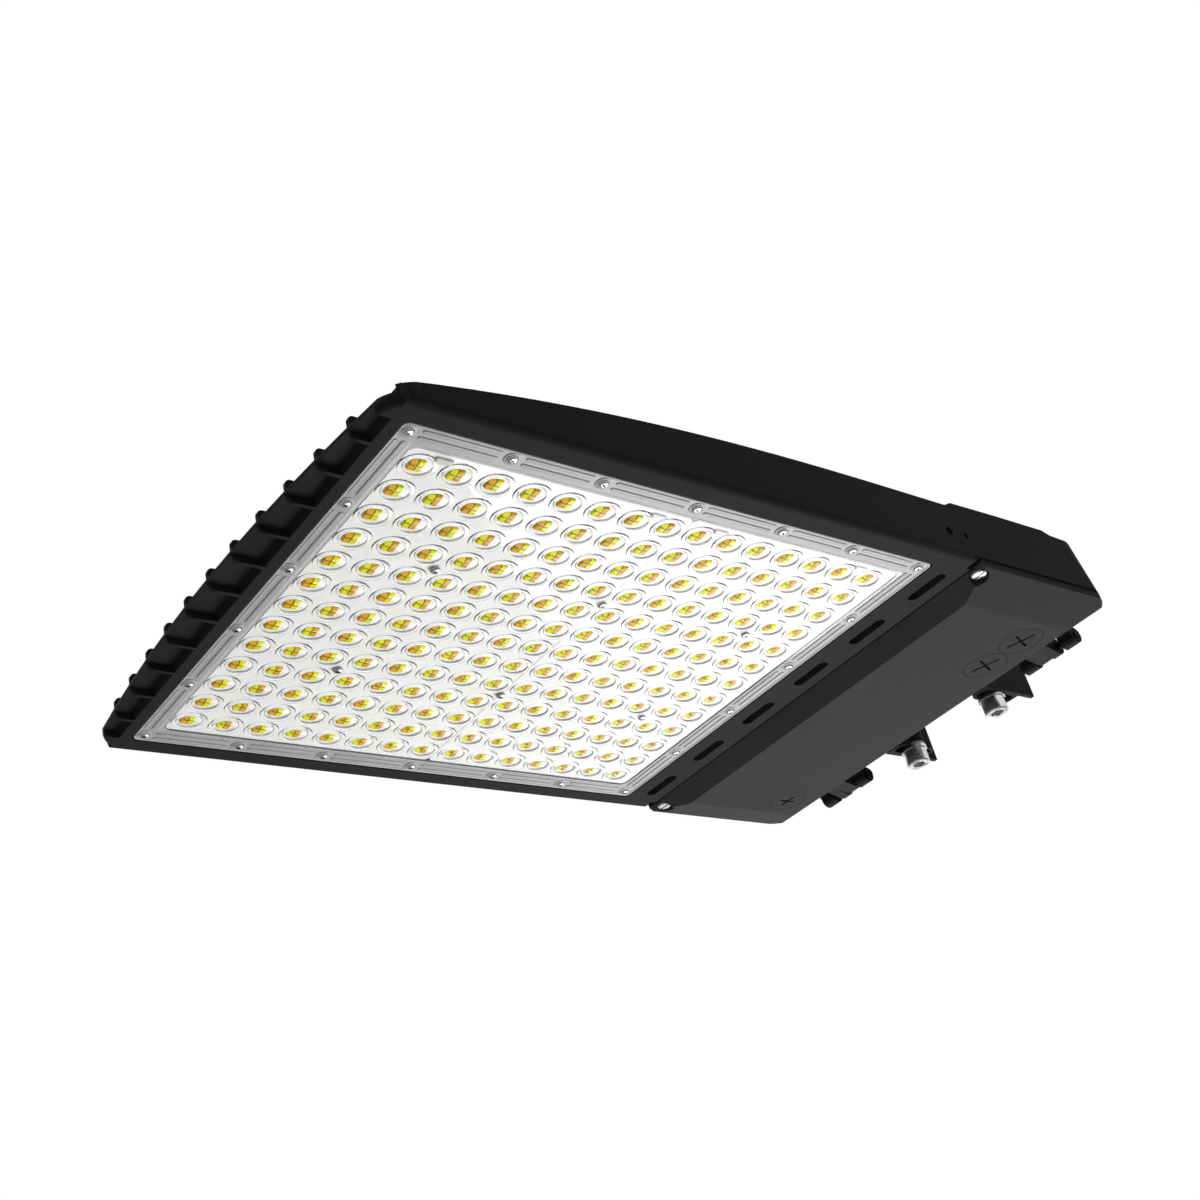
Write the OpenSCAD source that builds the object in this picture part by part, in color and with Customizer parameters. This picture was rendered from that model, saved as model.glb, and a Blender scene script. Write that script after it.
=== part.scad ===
// Shoebox area light with its LED field, driver bay and rear arm mount.
// Origin between the two arm bolts, on the face the arm sits on; +Z up, +Y towards the arm.
// Heights below are counted from the underside of the frame; piece() moves them to the origin.

/* [Housing] */
// Width across the side walls
body_w = 309; // [304:1:320]
// Distance from the arm bolts to the front of the lip
front_reach = 544.2; // [536:0.2:600]
// Height of the side walls at their crest
crest_z = 35.8; // [34:0.2:40]
// Thickness of the cast walls
wall = 3.5; // [3:0.1:4]
// Thickness of one fin
fin_t = 2; // [1.6:0.1:2.6]
// Distance from fin to fin
fin_pitch = 24.55; // [23.6:0.05:25]
// Width of the vent slots between the LED bay and the driver bay
slot_w = 7.3; // [6:0.1:7.6]

/* [LED bay] */
// Lenses along the length
led_cols = 15; // [13:1:15]
// Lenses across the width
led_rows = 13; // [11:2:13]
// Radius of a lens across the width
lens_r = 7.5; // [6.8:0.1:7.8]
// Height of a lens below the plate
lens_h = 2.6; // [2.2:0.1:3]
// Side of one LED package
led_side = 3; // [2.4:0.1:3.2]

/* [Driver bay] */
// Depth of the door below the parting plane
door_drop = 9; // [8:0.5:9]
// Thickness of the door skin
door_t = 3; // [2.5:0.1:3]
// Radius of the larger plugs
plug_r = 14; // [13:0.1:14]
// Radius of the smaller plug
plug_c_r = 12.6; // [11.8:0.1:13.4]

/* [Arm mount] */
// Distance between the two arm bolts
bolt_pitch = 72.4; // [71:0.1:74]
// Length of the arm bolts below their heads
bolt_l = 30; // [25:5:40]

/* [Hidden] */

$fn = 64;
eps = 0.01;
half_w = body_w / 2;
gap = 0.3;

// Lengthways places, from the lip to the hinge line
y_lip = -front_reach;
y_frame = y_lip + 16.7;
y_lens_front = y_frame + 6.8;
y_lens_rear = -175.6;
y_slot = -160.7;
y_bay_front = -155;
y_frame_rear = -148.3;
y_door_front = -147;
y_door_rear = -22.5;
y_hinge = -9;
z_hinge = -0.5;
y_cheek_rear = 33.8;

// Heights of the LED bay
z_ledge = 4;
z_floor = 2.9;
z_base = 9.6;
z_lip_low = 4.2;
z_lip_top = 6.2;
z_wall_front = 9.4;
z_fin_front = 12.7;

// Heights of the driver bay
z_seat = 2.8;
seat_w = 8.5;
seat_top = 6.6;
z_roof = crest_z + 3.8;
z_roof_rear = crest_z + 1;
z_ceiling = z_roof - 3.6;
z_ceiling_rear = z_roof_rear - wall;
y_roof_step = -62.5;
rear_lean = 15;
rear_r = 17;

// Crowned front
crown_r = 1160;
corner_r = 17;
y_corner = y_lip + 7.7;
foot_r = 3.5;
foot_w = 13.5;

function crown_y(x) = y_lip + crown_r - sqrt(crown_r * crown_r - x * x);

// Top line of walls and fins: nearly level at the rear, falling to the front
y_crest = -200;
y_wall_low = y_lip + 20.2;
z_wall_low = 11.1;
function top_z(y) = crest_z - (crest_z - z_wall_low)
  * pow(max(0, (y_crest - y) / (y_crest - y_wall_low)), 2.5);
top_steps = 22;
function top_line(y0, y1, low) = [
  for (i = [0 : top_steps]) let (y = y0 + (y1 - y0) * i / top_steps) [y, max(low, top_z(y))]
];

// Lens plate and its lenses
lens_edge = 13.1;
lens_half = half_w - lens_edge;
lens_gap = 0.7;
rim_w = 13.2;
plate_low = -0.2;
rim_top = 2.8;
field_top = 0.8;
pocket_low = 0.1;
pocket_r = led_side * 1.63;
lens_spread = 1;
led_x_edge = 25.2;
led_front_edge = 20.9;
led_rear_edge = 30.2;
led_px = 2 * (lens_half - led_x_edge) / (led_rows - 1);
led_y0 = y_lens_front + led_front_edge;
led_py = (y_lens_rear - led_rear_edge - led_y0) / (led_cols - 1);
function led_x(j) = (j - (led_rows - 1) / 2) * led_px;
function led_y(i) = led_y0 + i * led_py;
// Columns of the front board; the seam follows the last of them
seam_col = ceil(led_cols / 2);
y_seam = led_y(seam_col - 0.5);
board_gap = 0.6;
board_side = 1;
board_t = 1.6;
z_board = z_floor - board_t;
led_h = 0.7;
socket_in = 8.6;
socket_size = [3.4, 9, 1.2];
socket_cols = [0.5, seam_col - 1.5, seam_col + 0.5, led_cols - 1.5];
// Amber packages lie to the front of their cluster where this is 1
function amber_side(i) = (i < seam_col) ? ((i % 2 == 0) ? -1 : 1) : ((i % 2 == 0) ? 1 : -1);

// Screws of the lens plate
screw_in = 5.6;
rim_x = lens_half - screw_in;
rim_y0 = y_lens_front + screw_in - 1.1;
rim_y1 = y_lens_rear - 7.1;
rim_at = [0, 0.1655, 0.3241, 0.502, 0.681, 0.84, 1];
rim_cross = [-0.6, -0.2, 0.2, 0.6];
field_at = [2.5, 7.5, 12.5];
field_rows = [-2.5, 2.5];
m3_r = 1.5;
m3_head_r = 2.8;
m3_head_h = 1.6;
m3_l = 8;
tap_gap = 0.04;
clear_r = 1.9;

// Fins and slots
fin_n = 5;
fin_rear = -167;
fin_in = 0.4;
fin_nose_r = 3;
slot_half = 13.8;
side_hole_z = 16.2;

// Door
door_side_gap = 1.2;
door_half = half_w - door_side_gap;
door_rim_w = 7.2;
door_lip_w = 2;
z_door_lip = 2.4;
z_door_ledge = 0.8;
door_edge_z = -2.2;
door_flat_x = half_w - 28.5;
door_flat_y0 = y_door_front + 12;
door_flat_y1 = -37;
z_door = -door_drop;
z_skin = z_door + door_t;
door_screw_x = half_w - 9.5;
door_screw_y = -140.5;
niche_r = 6.3;
ear_low = 0.6;
gasket_w = 2.6;
gasket_turn_r = 7.2;
ear_top = 1.9;
ear_r = 6.2;
door_screw_r = 2.5;
door_screw_tip = 10;
tap_free_r = 3.1;
ring_t = 0.7;

// Hinges
hinge_x = 94.5;
pin_r = 2.5;
pin_gap = 0.05;
knuckle_r = 5.5;
barrel_r = 4.6;
knuckle_in = 21;
knuckle_w = 10;
knuckle_out = 11;
lug_w = 6.5;
barrel_w = 10.2;

// Plugs: [x, y, head radius, arm length, arm angle]
plug_y = -59.5;
plug_a = [107, plug_y, plug_r, 18.3, 21];
plug_b = [77.5, plug_y, plug_r, 18.3, 21];
plug_c = [-108.4, plug_y, plug_c_r, 12.8, 0];
plug_head_h = 2;
plug_thread_in = 2.7;
plug_top = -1.5;
plug_wall = 3;
oring_r = 0.85;
oring_in = 1.2;

// Arm mount
bolt_x = bolt_pitch / 2;
m10_r = 5;
shank_r = 4.6;
m10_hole_r = 5.5;
head_r = 8;
head_h = 10;
hex_af = 8;
washer_t = 2;
washer_r = 9;
spring_t = 2.2;
z_boss = 2.5;
z_washer = z_boss - spring_t - washer_t;
z_head = z_washer - head_h;
boss_r = 9;
pad_top = 12;
cheek_out = bolt_x + 10.5;
cheek_t = 2.9;
cheek_top = z_roof_rear;
pad_in = bolt_x - 4.9;
pad_y0 = -17;
pad_y1 = 19.5;
pad_r = 6;
grommet_z = 19;
grommet_r = 6.5;

// Bay contents
driver_x0 = -125;
driver_x1 = 95;
driver_y0 = -147;
driver_y1 = -81;
driver_low = seat_top + gap;
tab_l = 10;
tab_t = 2;
tab_y = [-136, -92];
m4_r = 2;
m4_head_r = 3.6;
m4_head_h = 2.4;
sheet_t = 1.2;
z_switch_plate = 20;
switch_r = 8;
switch_h = 9;
knob_r = 5;
knob_low = 3.2;
surge_x = -38;
surge_y = -52;
surge_box = [44, 24, 20];
surge_screw_x = 27;
surge_tab = [64, 12];
surge_tab_t = 2.4;
terminal_x = 14;
terminal_y = -53;
terminal_pitch = 11;
terminal_box = [36, 16, 15];
ground_x = 48;
cable_x = 98.2;
cable_z = 7.4;
cable_r = 1.6;
input_r = 1.3;

// ---------------------------------------------------------------- helpers

// Colours a piece and moves it from frame heights to the origin on the arm seat
module piece(shade) {
  color(shade) translate([0, 0, -pad_top]) children();
}

// Extrudes a side view drawn in length and height across the width
module across(x0, x1) {
  translate([x0, 0, 0]) rotate([90, 0, 90]) linear_extrude(x1 - x0) children();
}

// Extrudes an end view drawn in width and height along the length
module along(y0, y1) {
  translate([0, y1, 0]) rotate([90, 0, 0]) linear_extrude(y1 - y0) children();
}

// Box from its low corner to its high corner
module slab(low, high) {
  translate(low) cube(high - low);
}

// Flat rectangle with round corners
module round_rect(x0, y0, x1, y1, r) {
  translate([x0 + r, y0]) square([x1 - x0 - 2 * r, y1 - y0]);
  translate([x0, y0 + r]) square([x1 - x0, y1 - y0 - 2 * r]);
  for (x = [x0 + r, x1 - r], y = [y0 + r, y1 - r]) translate([x, y]) circle(r);
}

// Outline from above with round corners at its rear edge, which lies at Y = 0
module rear_plan(side_gap, y0, inset) {
  side = half_w - side_gap - inset;
  flat = half_w - rear_r;
  crop = (side_gap > 0) ? side : half_w;
  translate([-side, y0]) square([2 * side, -rear_r - y0]);
  translate([-flat, y0]) square([2 * flat, -inset - y0]);
  intersection() {
    for (s = [-1, 1]) translate([s * flat, -rear_r]) circle(rear_r - inset);
    translate([-crop, -2 * rear_r]) square([2 * crop, 2 * rear_r]);
  }
}

// Flat slot with round ends, along X
module obround(l, w) {
  translate([-(l - w) / 2, -w / 2]) square([l - w, w]);
  for (s = [-1, 1]) translate([s * (l - w) / 2, 0]) circle(w / 2);
}

// Pan head screw pointing up, its bearing face at z
module pan_screw(z, r, l, head_r, head_h) {
  difference() {
    union() {
      translate([0, 0, z - head_h]) cylinder(r1 = head_r * 0.72, r2 = head_r, h = head_h * 0.55);
      translate([0, 0, z - head_h * 0.45]) cylinder(r = head_r, h = head_h * 0.45);
      translate([0, 0, z]) cylinder(r = r, h = l);
    }
    for (a = [0, 90]) rotate(a)
      translate([-head_r * 0.5, -head_r * 0.13, z - head_h - eps])
        cube([head_r, head_r * 0.26, head_h * 0.5]);
  }
}

// Places of the screws around the lens plate
module at_rim_screws() {
  for (s = [-1, 1], f = rim_at) translate([s * rim_x, rim_y0 + f * (rim_y1 - rim_y0), 0]) children();
  for (f = rim_cross, y = [rim_y0, rim_y1]) translate([f * rim_x, y, 0]) children();
}

// Places of the screws between the lenses
module at_field_screws() {
  for (j = field_rows, i = field_at)
    translate([j * led_px, led_y(min(i, led_cols - 2.5)), 0]) children();
}

// ---------------------------------------------------------------- housing

// Outline from above with crowned front and round front corners
module plan_outline(inset = 0) {
  intersection() {
    translate([0, y_lip + crown_r]) circle(crown_r - inset, $fn = 360);
    union() {
      translate([-half_w + corner_r, y_lip - 1]) square([body_w - 2 * corner_r, corner_r + 9]);
      translate([-half_w + inset, y_corner + corner_r])
        square([body_w - 2 * inset, y_frame_rear - y_corner - corner_r]);
      for (s = [-1, 1]) translate([s * (half_w - corner_r), y_corner + corner_r])
        circle(corner_r - inset);
    }
  }
}

// End view with rounded lower edges
module end_view() {
  translate([-half_w, foot_r]) square([body_w, 60]);
  translate([-half_w + foot_r, 0]) square([body_w - 2 * foot_r, foot_r + 1]);
  for (s = [-1, 1]) translate([s * (half_w - foot_r), foot_r]) circle(foot_r);
}

// Disc of a front corner, its lower edge rounded like that of the walls
module corner_disc() {
  rotate_extrude() {
    square([corner_r - foot_r, z_lip_top]);
    translate([0, foot_r]) square([corner_r, z_lip_top - foot_r]);
    translate([corner_r - foot_r, foot_r]) circle(foot_r);
  }
}

// Solid foot in the front corners, under the ends of the lip
module corner_feet() {
  intersection() {
    for (s = [-1, 1]) translate([s * (half_w - corner_r), y_corner + corner_r, 0]) corner_disc();
    linear_extrude(z_lip_top) plan_outline();
    for (s = [-1, 1]) translate([s * (half_w - foot_w / 2), y_lip, 0])
      slab([-foot_w / 2, 0, -1], [foot_w / 2, 40, z_lip_top]);
  }
}

module base_plate() {
  across(-half_w + 1, half_w - 1) polygon([
    [y_frame, 0], [y_frame - 1.5, z_lip_low], [y_frame - 1.5, z_base],
    [y_bay_front + 1, z_base], [y_frame_rear, seat_top], [y_frame_rear, 0]
  ]);
  translate([0, 0, z_lip_low]) linear_extrude(z_lip_top - z_lip_low)
    intersection() {
      plan_outline();
      translate([-half_w, y_lip - 1]) square([body_w, 40]);
    }
}

// Walls end upright where the front corner turns in
module side_walls() {
  y_turn = y_corner + corner_r;
  intersection() {
    linear_extrude(z_roof) difference() {
      plan_outline();
      translate([-half_w + wall, y_lip - 1]) square([body_w - 2 * wall, front_reach]);
    }
    across(-half_w - 1, half_w + 1) polygon(concat(
      [[y_bay_front + 1, 0], [y_turn, 0], [y_turn, foot_r], [y_lip, foot_r]],
      top_line(y_lip, y_bay_front + 1, z_wall_front)
    ));
  }
}

// One fin; under the lip it goes on as a rib
module fin(x) {
  yf = crown_y(abs(x) + fin_t / 2) + fin_in;
  across(x - fin_t / 2, x + fin_t / 2) {
    translate([yf + z_lip_low, 0]) square([y_frame - yf, z_lip_low + 1]);
    translate([yf + z_lip_low, z_lip_low]) circle(z_lip_low);
    translate([yf, z_lip_low]) square([6, z_fin_front - z_lip_low - fin_nose_r]);
    translate([yf + fin_nose_r, z_fin_front - fin_nose_r]) circle(fin_nose_r);
    polygon(concat([[fin_rear, z_lip_low + 0.5], [yf + fin_nose_r, z_lip_low + 0.5]],
      top_line(yf + fin_nose_r, fin_rear, z_fin_front)));
  }
}

// Leaning prism that closes the bay at the rear, with round rear corners
module rear_prism(inset) {
  translate([0, y_door_rear, z_seat]) rotate([rear_lean, 0, 0]) translate([0, 0, -30])
    linear_extrude(110) rear_plan(0, -200, inset);
}

module bay_shell() {
  difference() {
    intersection() {
      across(-half_w, half_w) polygon([
        [y_bay_front, z_seat], [y_bay_front, crest_z - 4], [y_bay_front - 7.3, crest_z - 0.1],
        [y_bay_front - 1, z_roof - 0.9], [y_bay_front + 36, z_roof - 0.2],
        [y_roof_step - 6.8, z_roof], [y_roof_step, z_roof_rear + 0.6],
        [y_roof_step + 12, z_roof_rear], [y_door_rear + 5, z_roof_rear], [y_door_rear + 5, z_seat]
      ]);
      rear_prism(0);
    }
    intersection() {
      across(-half_w + wall, half_w - wall) polygon([
        [y_bay_front + wall, z_seat - 1], [y_bay_front + wall, z_ceiling],
        [y_roof_step - 4, z_ceiling], [y_roof_step - 4, z_ceiling_rear],
        [y_door_rear + 5, z_ceiling_rear], [y_door_rear + 5, z_seat - 1]
      ]);
      rear_prism(wall);
    }
  }
}

// Sealing face around the open underside of the bay
module bay_seat() {
  translate([0, 0, z_seat]) linear_extrude(seat_top - z_seat) difference() {
    translate([-half_w + 1, y_bay_front]) square([body_w - 2, y_door_rear - y_bay_front - 18]);
    translate([-half_w + seat_w, y_bay_front + 15]) square([body_w - 2 * seat_w, 200]);
  }
  intersection() {
    difference() {
      slab([-half_w, y_door_rear - 19, z_seat], [half_w, y_door_rear + 2, seat_top]);
      translate([0, 0, z_seat - 1]) linear_extrude(10)
        round_rect(-half_w + seat_w, y_door_rear - 60, half_w - seat_w,
          y_door_rear - seat_w, rear_r - seat_w + 1);
    }
    rear_prism(0.5);
  }
}

module screw_bosses() {
  for (s = [-1, 1]) translate([s * (door_screw_x - 1), door_screw_y, z_seat])
    cylinder(r = gasket_turn_r + gasket_w + 0.6, h = 12);
}

// Knuckle of the housing and the arm that carries it from the rear wall
module housing_knuckle(x) {
  across(x, x + knuckle_w) {
    translate([y_hinge, z_hinge]) circle(knuckle_r);
    polygon([
      [y_door_rear - 6, z_seat], [y_door_rear + 6, z_seat], [y_hinge - knuckle_r, z_hinge],
      [y_hinge, z_hinge], [y_hinge + 3.5, z_hinge + 4.2], [y_door_rear - 6, z_seat + 12]
    ]);
  }
}

module cheek(s) {
  mirror([s < 0 ? 1 : 0, 0, 0]) {
    across(cheek_out - cheek_t, cheek_out) polygon([
      [y_door_rear - 8, z_seat + 3], [y_door_rear - 2, z_seat + 1], [pad_y0, 0],
      [y_cheek_rear, 0], [y_cheek_rear, cheek_top - 8], [y_cheek_rear - 8, cheek_top],
      [y_door_rear - 12, cheek_top]
    ]);
    difference() {
      linear_extrude(pad_top) {
        round_rect(pad_in, pad_y0, cheek_out - 1, pad_y1, pad_r);
        translate([pad_in + 4, pad_y0]) square([10, 10]);
        translate([cheek_out - 10, pad_y0]) square([9, pad_y1 - pad_y0]);
      }
      translate([0, 0, -1]) linear_extrude(pad_top - 3)
        round_rect(pad_in + 2.2, pad_y0 + 2.2, cheek_out - 4, pad_y1 - 2.2, pad_r - 2.2);
    }
    translate([bolt_x, 0, z_boss]) cylinder(r = boss_r, h = pad_top - z_boss);
    slab([pad_in, y_door_rear - 6, z_seat + 3], [cheek_out - 1, pad_y0 + 1, pad_top]);
  }
}

module lens_outline() {
  round_rect(-lens_half - lens_gap, y_lens_front - lens_gap, lens_half + lens_gap,
    y_lens_rear + lens_gap, 4);
}

// Seat of the lens plate, deeper where its gasket lies
module lens_recess() {
  translate([0, 0, -1]) linear_extrude(z_floor + 1) lens_outline();
  translate([0, 0, -1]) linear_extrude(z_ledge + 1) difference() {
    lens_outline();
    round_rect(-lens_half + rim_w, y_lens_front + rim_w - 2, lens_half - rim_w,
      y_lens_rear - rim_w, 6);
  }
}

module housing() {
  piece([0.2, 0.2, 0.2]) difference() {
    union() {
      intersection() {
        union() {
          base_plate();
          side_walls();
        }
        along(y_lip - 1, y_frame_rear + 1) end_view();
      }
      corner_feet();
      for (k = [-fin_n : fin_n]) fin(k * fin_pitch);
      bay_shell();
      bay_seat();
      screw_bosses();
      for (x = [hinge_x - knuckle_in, hinge_x + knuckle_out]) {
        housing_knuckle(x);
        housing_knuckle(-x - knuckle_w);
      }
      for (s = [-1, 1]) cheek(s);
    }
    lens_recess();
    // Vent slots
    for (k = [-5 : 2 : 5]) translate([k * fin_pitch, y_slot, -1])
      linear_extrude(z_base + 2) obround(2 * slot_half, slot_w);
    // Tapped holes of the lens plate
    at_rim_screws() translate([0, 0, z_ledge - eps]) cylinder(r = m3_r + tap_gap, h = 5);
    at_field_screws() translate([0, 0, z_floor - eps])
      cylinder(r = m3_r + tap_gap, h = plate_low + m3_l - z_floor + 0.4);
    // Small holes in the side walls
    for (s = [-1, 1]) {
      translate([s * (half_w - 5), y_slot - 7.1, side_hole_z]) rotate([0, s * 90, 0])
        cylinder(r = 2.75, h = 8);
      translate([s * (half_w - 2), y_slot + 7.4, side_hole_z]) rotate([0, s * 90, 0])
        cylinder(r = 1.75, h = 8);
      // Notches where the frame meets the door
      across(s > 0 ? half_w - 9 : -half_w - 1, s > 0 ? half_w + 1 : -half_w + 9)
        polygon([[y_frame_rear - 4, -1], [y_frame_rear - 3.4, 0], [y_frame_rear + 2, 3.2],
          [y_frame_rear + 2, -1]]);
      // Holes and ring clearance of the door screws
      translate([s * door_screw_x, door_screw_y, z_seat - 1]) cylinder(r = tap_free_r, h = 11);
      translate([s * door_screw_x, door_screw_y, z_seat - 1]) cylinder(r = 5, h = 2.2);
      // Arm bolt holes
      translate([s * bolt_x, 0, z_boss - 4]) cylinder(r = m10_hole_r, h = bolt_l + 6);
      translate([s * bolt_x, 0, z_boss - 4]) cylinder(r = washer_r + 0.4, h = 4);
      // Hinge pin bores
      translate([s * (hinge_x + 0), y_hinge, z_hinge]) rotate([0, 90, 0])
        translate([0, 0, -30]) cylinder(r = pin_r + pin_gap, h = 60);
    }
    // Wire entry
    translate([0, y_door_rear - 4, grommet_z]) rotate([rear_lean - 90, 0, 0])
      translate([0, 0, -8]) cylinder(r = grommet_r, h = 20, $fn = 8);
    // Cable way from the LED bay to the driver bay
    translate([cable_x, y_lens_rear - rim_w - 6, cable_z]) rotate([-90, 0, 0])
      cylinder(r = cable_r + gap, h = 56);
    slab([cable_x - 3, y_lens_rear - rim_w - 6, z_floor - 1],
      [cable_x + 3, y_lens_rear - rim_w + 1, cable_z + cable_r + gap]);
    // Tapped holes in the bay's ceiling
    at_driver_screws() cylinder(r = m4_r + tap_gap, h = 2.6);
    at_bracket_screws() cylinder(r = m3_r + tap_gap, h = 2.6);
    at_surge_screws() cylinder(r = m3_r + tap_gap, h = 2.6);
    translate([ground_x, terminal_y, z_ceiling_rear]) cylinder(r = m4_r + tap_gap, h = 2.6);
  }
}

// ---------------------------------------------------------------- LED bay

module lens_field() {
  round_rect(-lens_half + 2, y_lens_front + 2, lens_half - 2, y_lens_rear - 2, 3);
}

module lens_plate() {
  piece([0.93, 0.93, 0.92, 0.6]) difference() {
    union() {
      // Rim, thicker than the field
      translate([0, 0, plate_low]) linear_extrude(rim_top - plate_low) difference() {
        round_rect(-lens_half, y_lens_front, lens_half, y_lens_rear, 3.5);
        round_rect(-lens_half + rim_w - 1, y_lens_front + rim_w - 3, lens_half - rim_w + 1,
          y_lens_rear - rim_w + 1, 6);
      }
      // Field, with a pocket over each cluster and each connector
      translate([0, 0, plate_low]) linear_extrude(pocket_low - plate_low) lens_field();
      translate([0, 0, pocket_low - eps]) linear_extrude(field_top - pocket_low + eps) difference() {
        lens_field();
        for (j = [0 : led_rows - 1], i = [0 : led_cols - 1])
          translate([led_x(j), led_y(i)]) circle(pocket_r);
        for (i = socket_cols) translate([led_x(led_rows - 1) + socket_in - socket_size.x / 2, led_y(i)])
          square([socket_size.x + 0.8, socket_size.y + 0.8], center = true);
      }
      // Raised outer edge
      translate([0, 0, plate_low - 0.9]) linear_extrude(1.2) difference() {
        round_rect(-lens_half, y_lens_front, lens_half, y_lens_rear, 3.5);
        round_rect(-lens_half + 1.6, y_lens_front + 1.6, lens_half - 1.6, y_lens_rear - 1.6, 2.5);
      }
      // Lenses
      lens_domes();
      // Spacers at the field screws
      at_field_screws() translate([0, 0, field_top - 0.2])
        cylinder(r = 3.4, h = z_board - field_top + 0.2);
      // Ribs along the rim, in pairs between the screws
      rim_ribs();
    }
    at_rim_screws() translate([0, 0, plate_low - 1]) cylinder(r = clear_r, h = 6);
    at_field_screws() translate([0, 0, plate_low - 1]) cylinder(r = clear_r, h = 6);
  }
}

// Domed lenses, longer along the light's length, trimmed at the underside of the plate
module lens_domes() {
  dome_r = (lens_r * lens_r + lens_h * lens_h) / (2 * lens_h);
  intersection() {
    for (j = [0 : led_rows - 1], i = [0 : led_cols - 1], s = [-1, 1])
      translate([led_x(j), led_y(i) + s * lens_spread, plate_low + dome_r - lens_h])
        sphere(dome_r, $fn = 48);
    slab([-lens_half, y_lens_front, plate_low - lens_h - 1],
      [lens_half, y_lens_rear, plate_low + eps]);
  }
}

module rim_ribs() {
  rib_h = 0.7;
  for (n = [0 : len(rim_at) - 2]) {
    y0 = rim_y0 + rim_at[n] * (rim_y1 - rim_y0);
    y1 = rim_y0 + rim_at[n + 1] * (rim_y1 - rim_y0);
    for (s = [-1, 1], o = [-2.2, 2.2])
      translate([s * rim_x + o, (y0 + y1) / 2, plate_low - rib_h]) rotate(90)
        linear_extrude(rib_h + 0.2) obround(y1 - y0 - 14, 2);
  }
  for (n = [-2 : 2], y = [rim_y0, rim_y1], o = [-2.2, 2.2])
    translate([n * 0.4 * rim_x, y + o, plate_low - rib_h])
      linear_extrude(rib_h + 0.2) obround(0.4 * rim_x - 14, 2);
}

module lens_gasket() {
  piece([0.1, 0.1, 0.1]) difference() {
    translate([0, 0, rim_top]) linear_extrude(z_ledge - rim_top) difference() {
      round_rect(-lens_half + 0.5, y_lens_front + 0.5, lens_half - 0.5, y_lens_rear - 0.5, 3);
      round_rect(-lens_half + rim_w - 0.5, y_lens_front + rim_w - 2.5, lens_half - rim_w + 0.5,
        y_lens_rear - rim_w + 0.5, 6);
    }
    at_rim_screws() translate([0, 0, rim_top - 1]) cylinder(r = clear_r, h = 4);
  }
}

module led_board(y0, y1) {
  x1 = lens_half - rim_w - board_side;
  piece([0.95, 0.95, 0.94]) difference() {
    translate([0, 0, z_board]) linear_extrude(board_t) round_rect(-x1, y0, x1, y1, 3);
    at_field_screws() translate([0, 0, z_board - 1]) cylinder(r = clear_r, h = 4);
  }
}

module led_board_front() {
  led_board(y_lens_front + rim_w - 2 + board_side, y_seam - board_gap / 2);
}

module led_board_rear() {
  led_board(y_seam + board_gap / 2, y_lens_rear - rim_w - board_side);
}

// One pair of packages in each cluster, on the side given by the column
module led_pairs(side) {
  for (j = [0 : led_rows - 1], i = [0 : led_cols - 1])
    translate([led_x(j), led_y(i) + side * amber_side(i) * (led_side / 2 + 0.2), z_board - led_h])
      for (s = [-1, 1]) translate([s * (led_side / 2 + 0.2) - led_side / 2, -led_side / 2, 0])
        cube([led_side, led_side, led_h]);
}

module led_chips_amber() {
  piece([0.86, 0.66, 0.02]) led_pairs(1);
}

module led_chips_yellow() {
  piece([0.9, 0.9, 0.05]) led_pairs(-1);
}

module board_connectors() {
  x1 = led_x(led_rows - 1) + socket_in;
  piece([0.9, 0.9, 0.88]) for (i = socket_cols)
    translate([x1 - socket_size.x, led_y(i) - socket_size.y / 2, z_board - socket_size.z]) cube(socket_size);
}

module rim_screws() {
  piece([0.75, 0.75, 0.75]) at_rim_screws() pan_screw(plate_low, m3_r, m3_l, m3_head_r, m3_head_h);
}

module field_screws() {
  piece([0.75, 0.75, 0.75]) at_field_screws()
    pan_screw(plate_low, m3_r, m3_l, m3_head_r, m3_head_h);
}

// ---------------------------------------------------------------- door

// Outline of the door from above
module door_plan(inset) {
  translate([0, y_door_rear])
    rear_plan(door_side_gap, y_door_front - y_door_rear + inset, inset);
}

// Body of the door between its sloped faces, moved in by the given skin
module door_block(inset, top) {
  intersection() {
    translate([0, 0, -30]) linear_extrude(30 + top) door_plan(inset);
    across(-half_w, half_w) polygon([
      [y_door_front + inset, 10], [y_door_front + inset, 0], [door_flat_y0 + inset, z_door + inset],
      [door_flat_y1 - inset, z_door + inset], [y_door_rear - inset, -2 + inset * 0.4],
      [y_door_rear - inset, 10]
    ]);
    along(-200, 0) polygon([
      [-door_half + inset, 10], [-door_half + inset, door_edge_z + inset * 0.3],
      [-door_flat_x + inset, z_door + inset], [door_flat_x - inset, z_door + inset],
      [door_half - inset, door_edge_z + inset * 0.3], [door_half - inset, 10]
    ]);
  }
}

module plug_boss(p) {
  translate([p[0], p[1], z_skin - 1]) cylinder(r = p[2] + gap + 0.4, h = plug_top - z_skin + 1);
}

module plug_holes(p) {
  translate([p[0], p[1], z_door - 1]) cylinder(r = p[2] + gap, h = plug_head_h + 1.2);
  translate([p[0], p[1], z_door]) cylinder(r = p[2] - oring_in + oring_r + gap, h = 3.8);
  translate([p[0], p[1], z_door]) cylinder(r = p[2] - plug_thread_in + gap, h = 12);
}

module door_hinge_side() {
  across(hinge_x, hinge_x + lug_w) door_lug(knuckle_r);
  across(hinge_x - barrel_w, hinge_x) door_lug(barrel_r);
}

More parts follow.
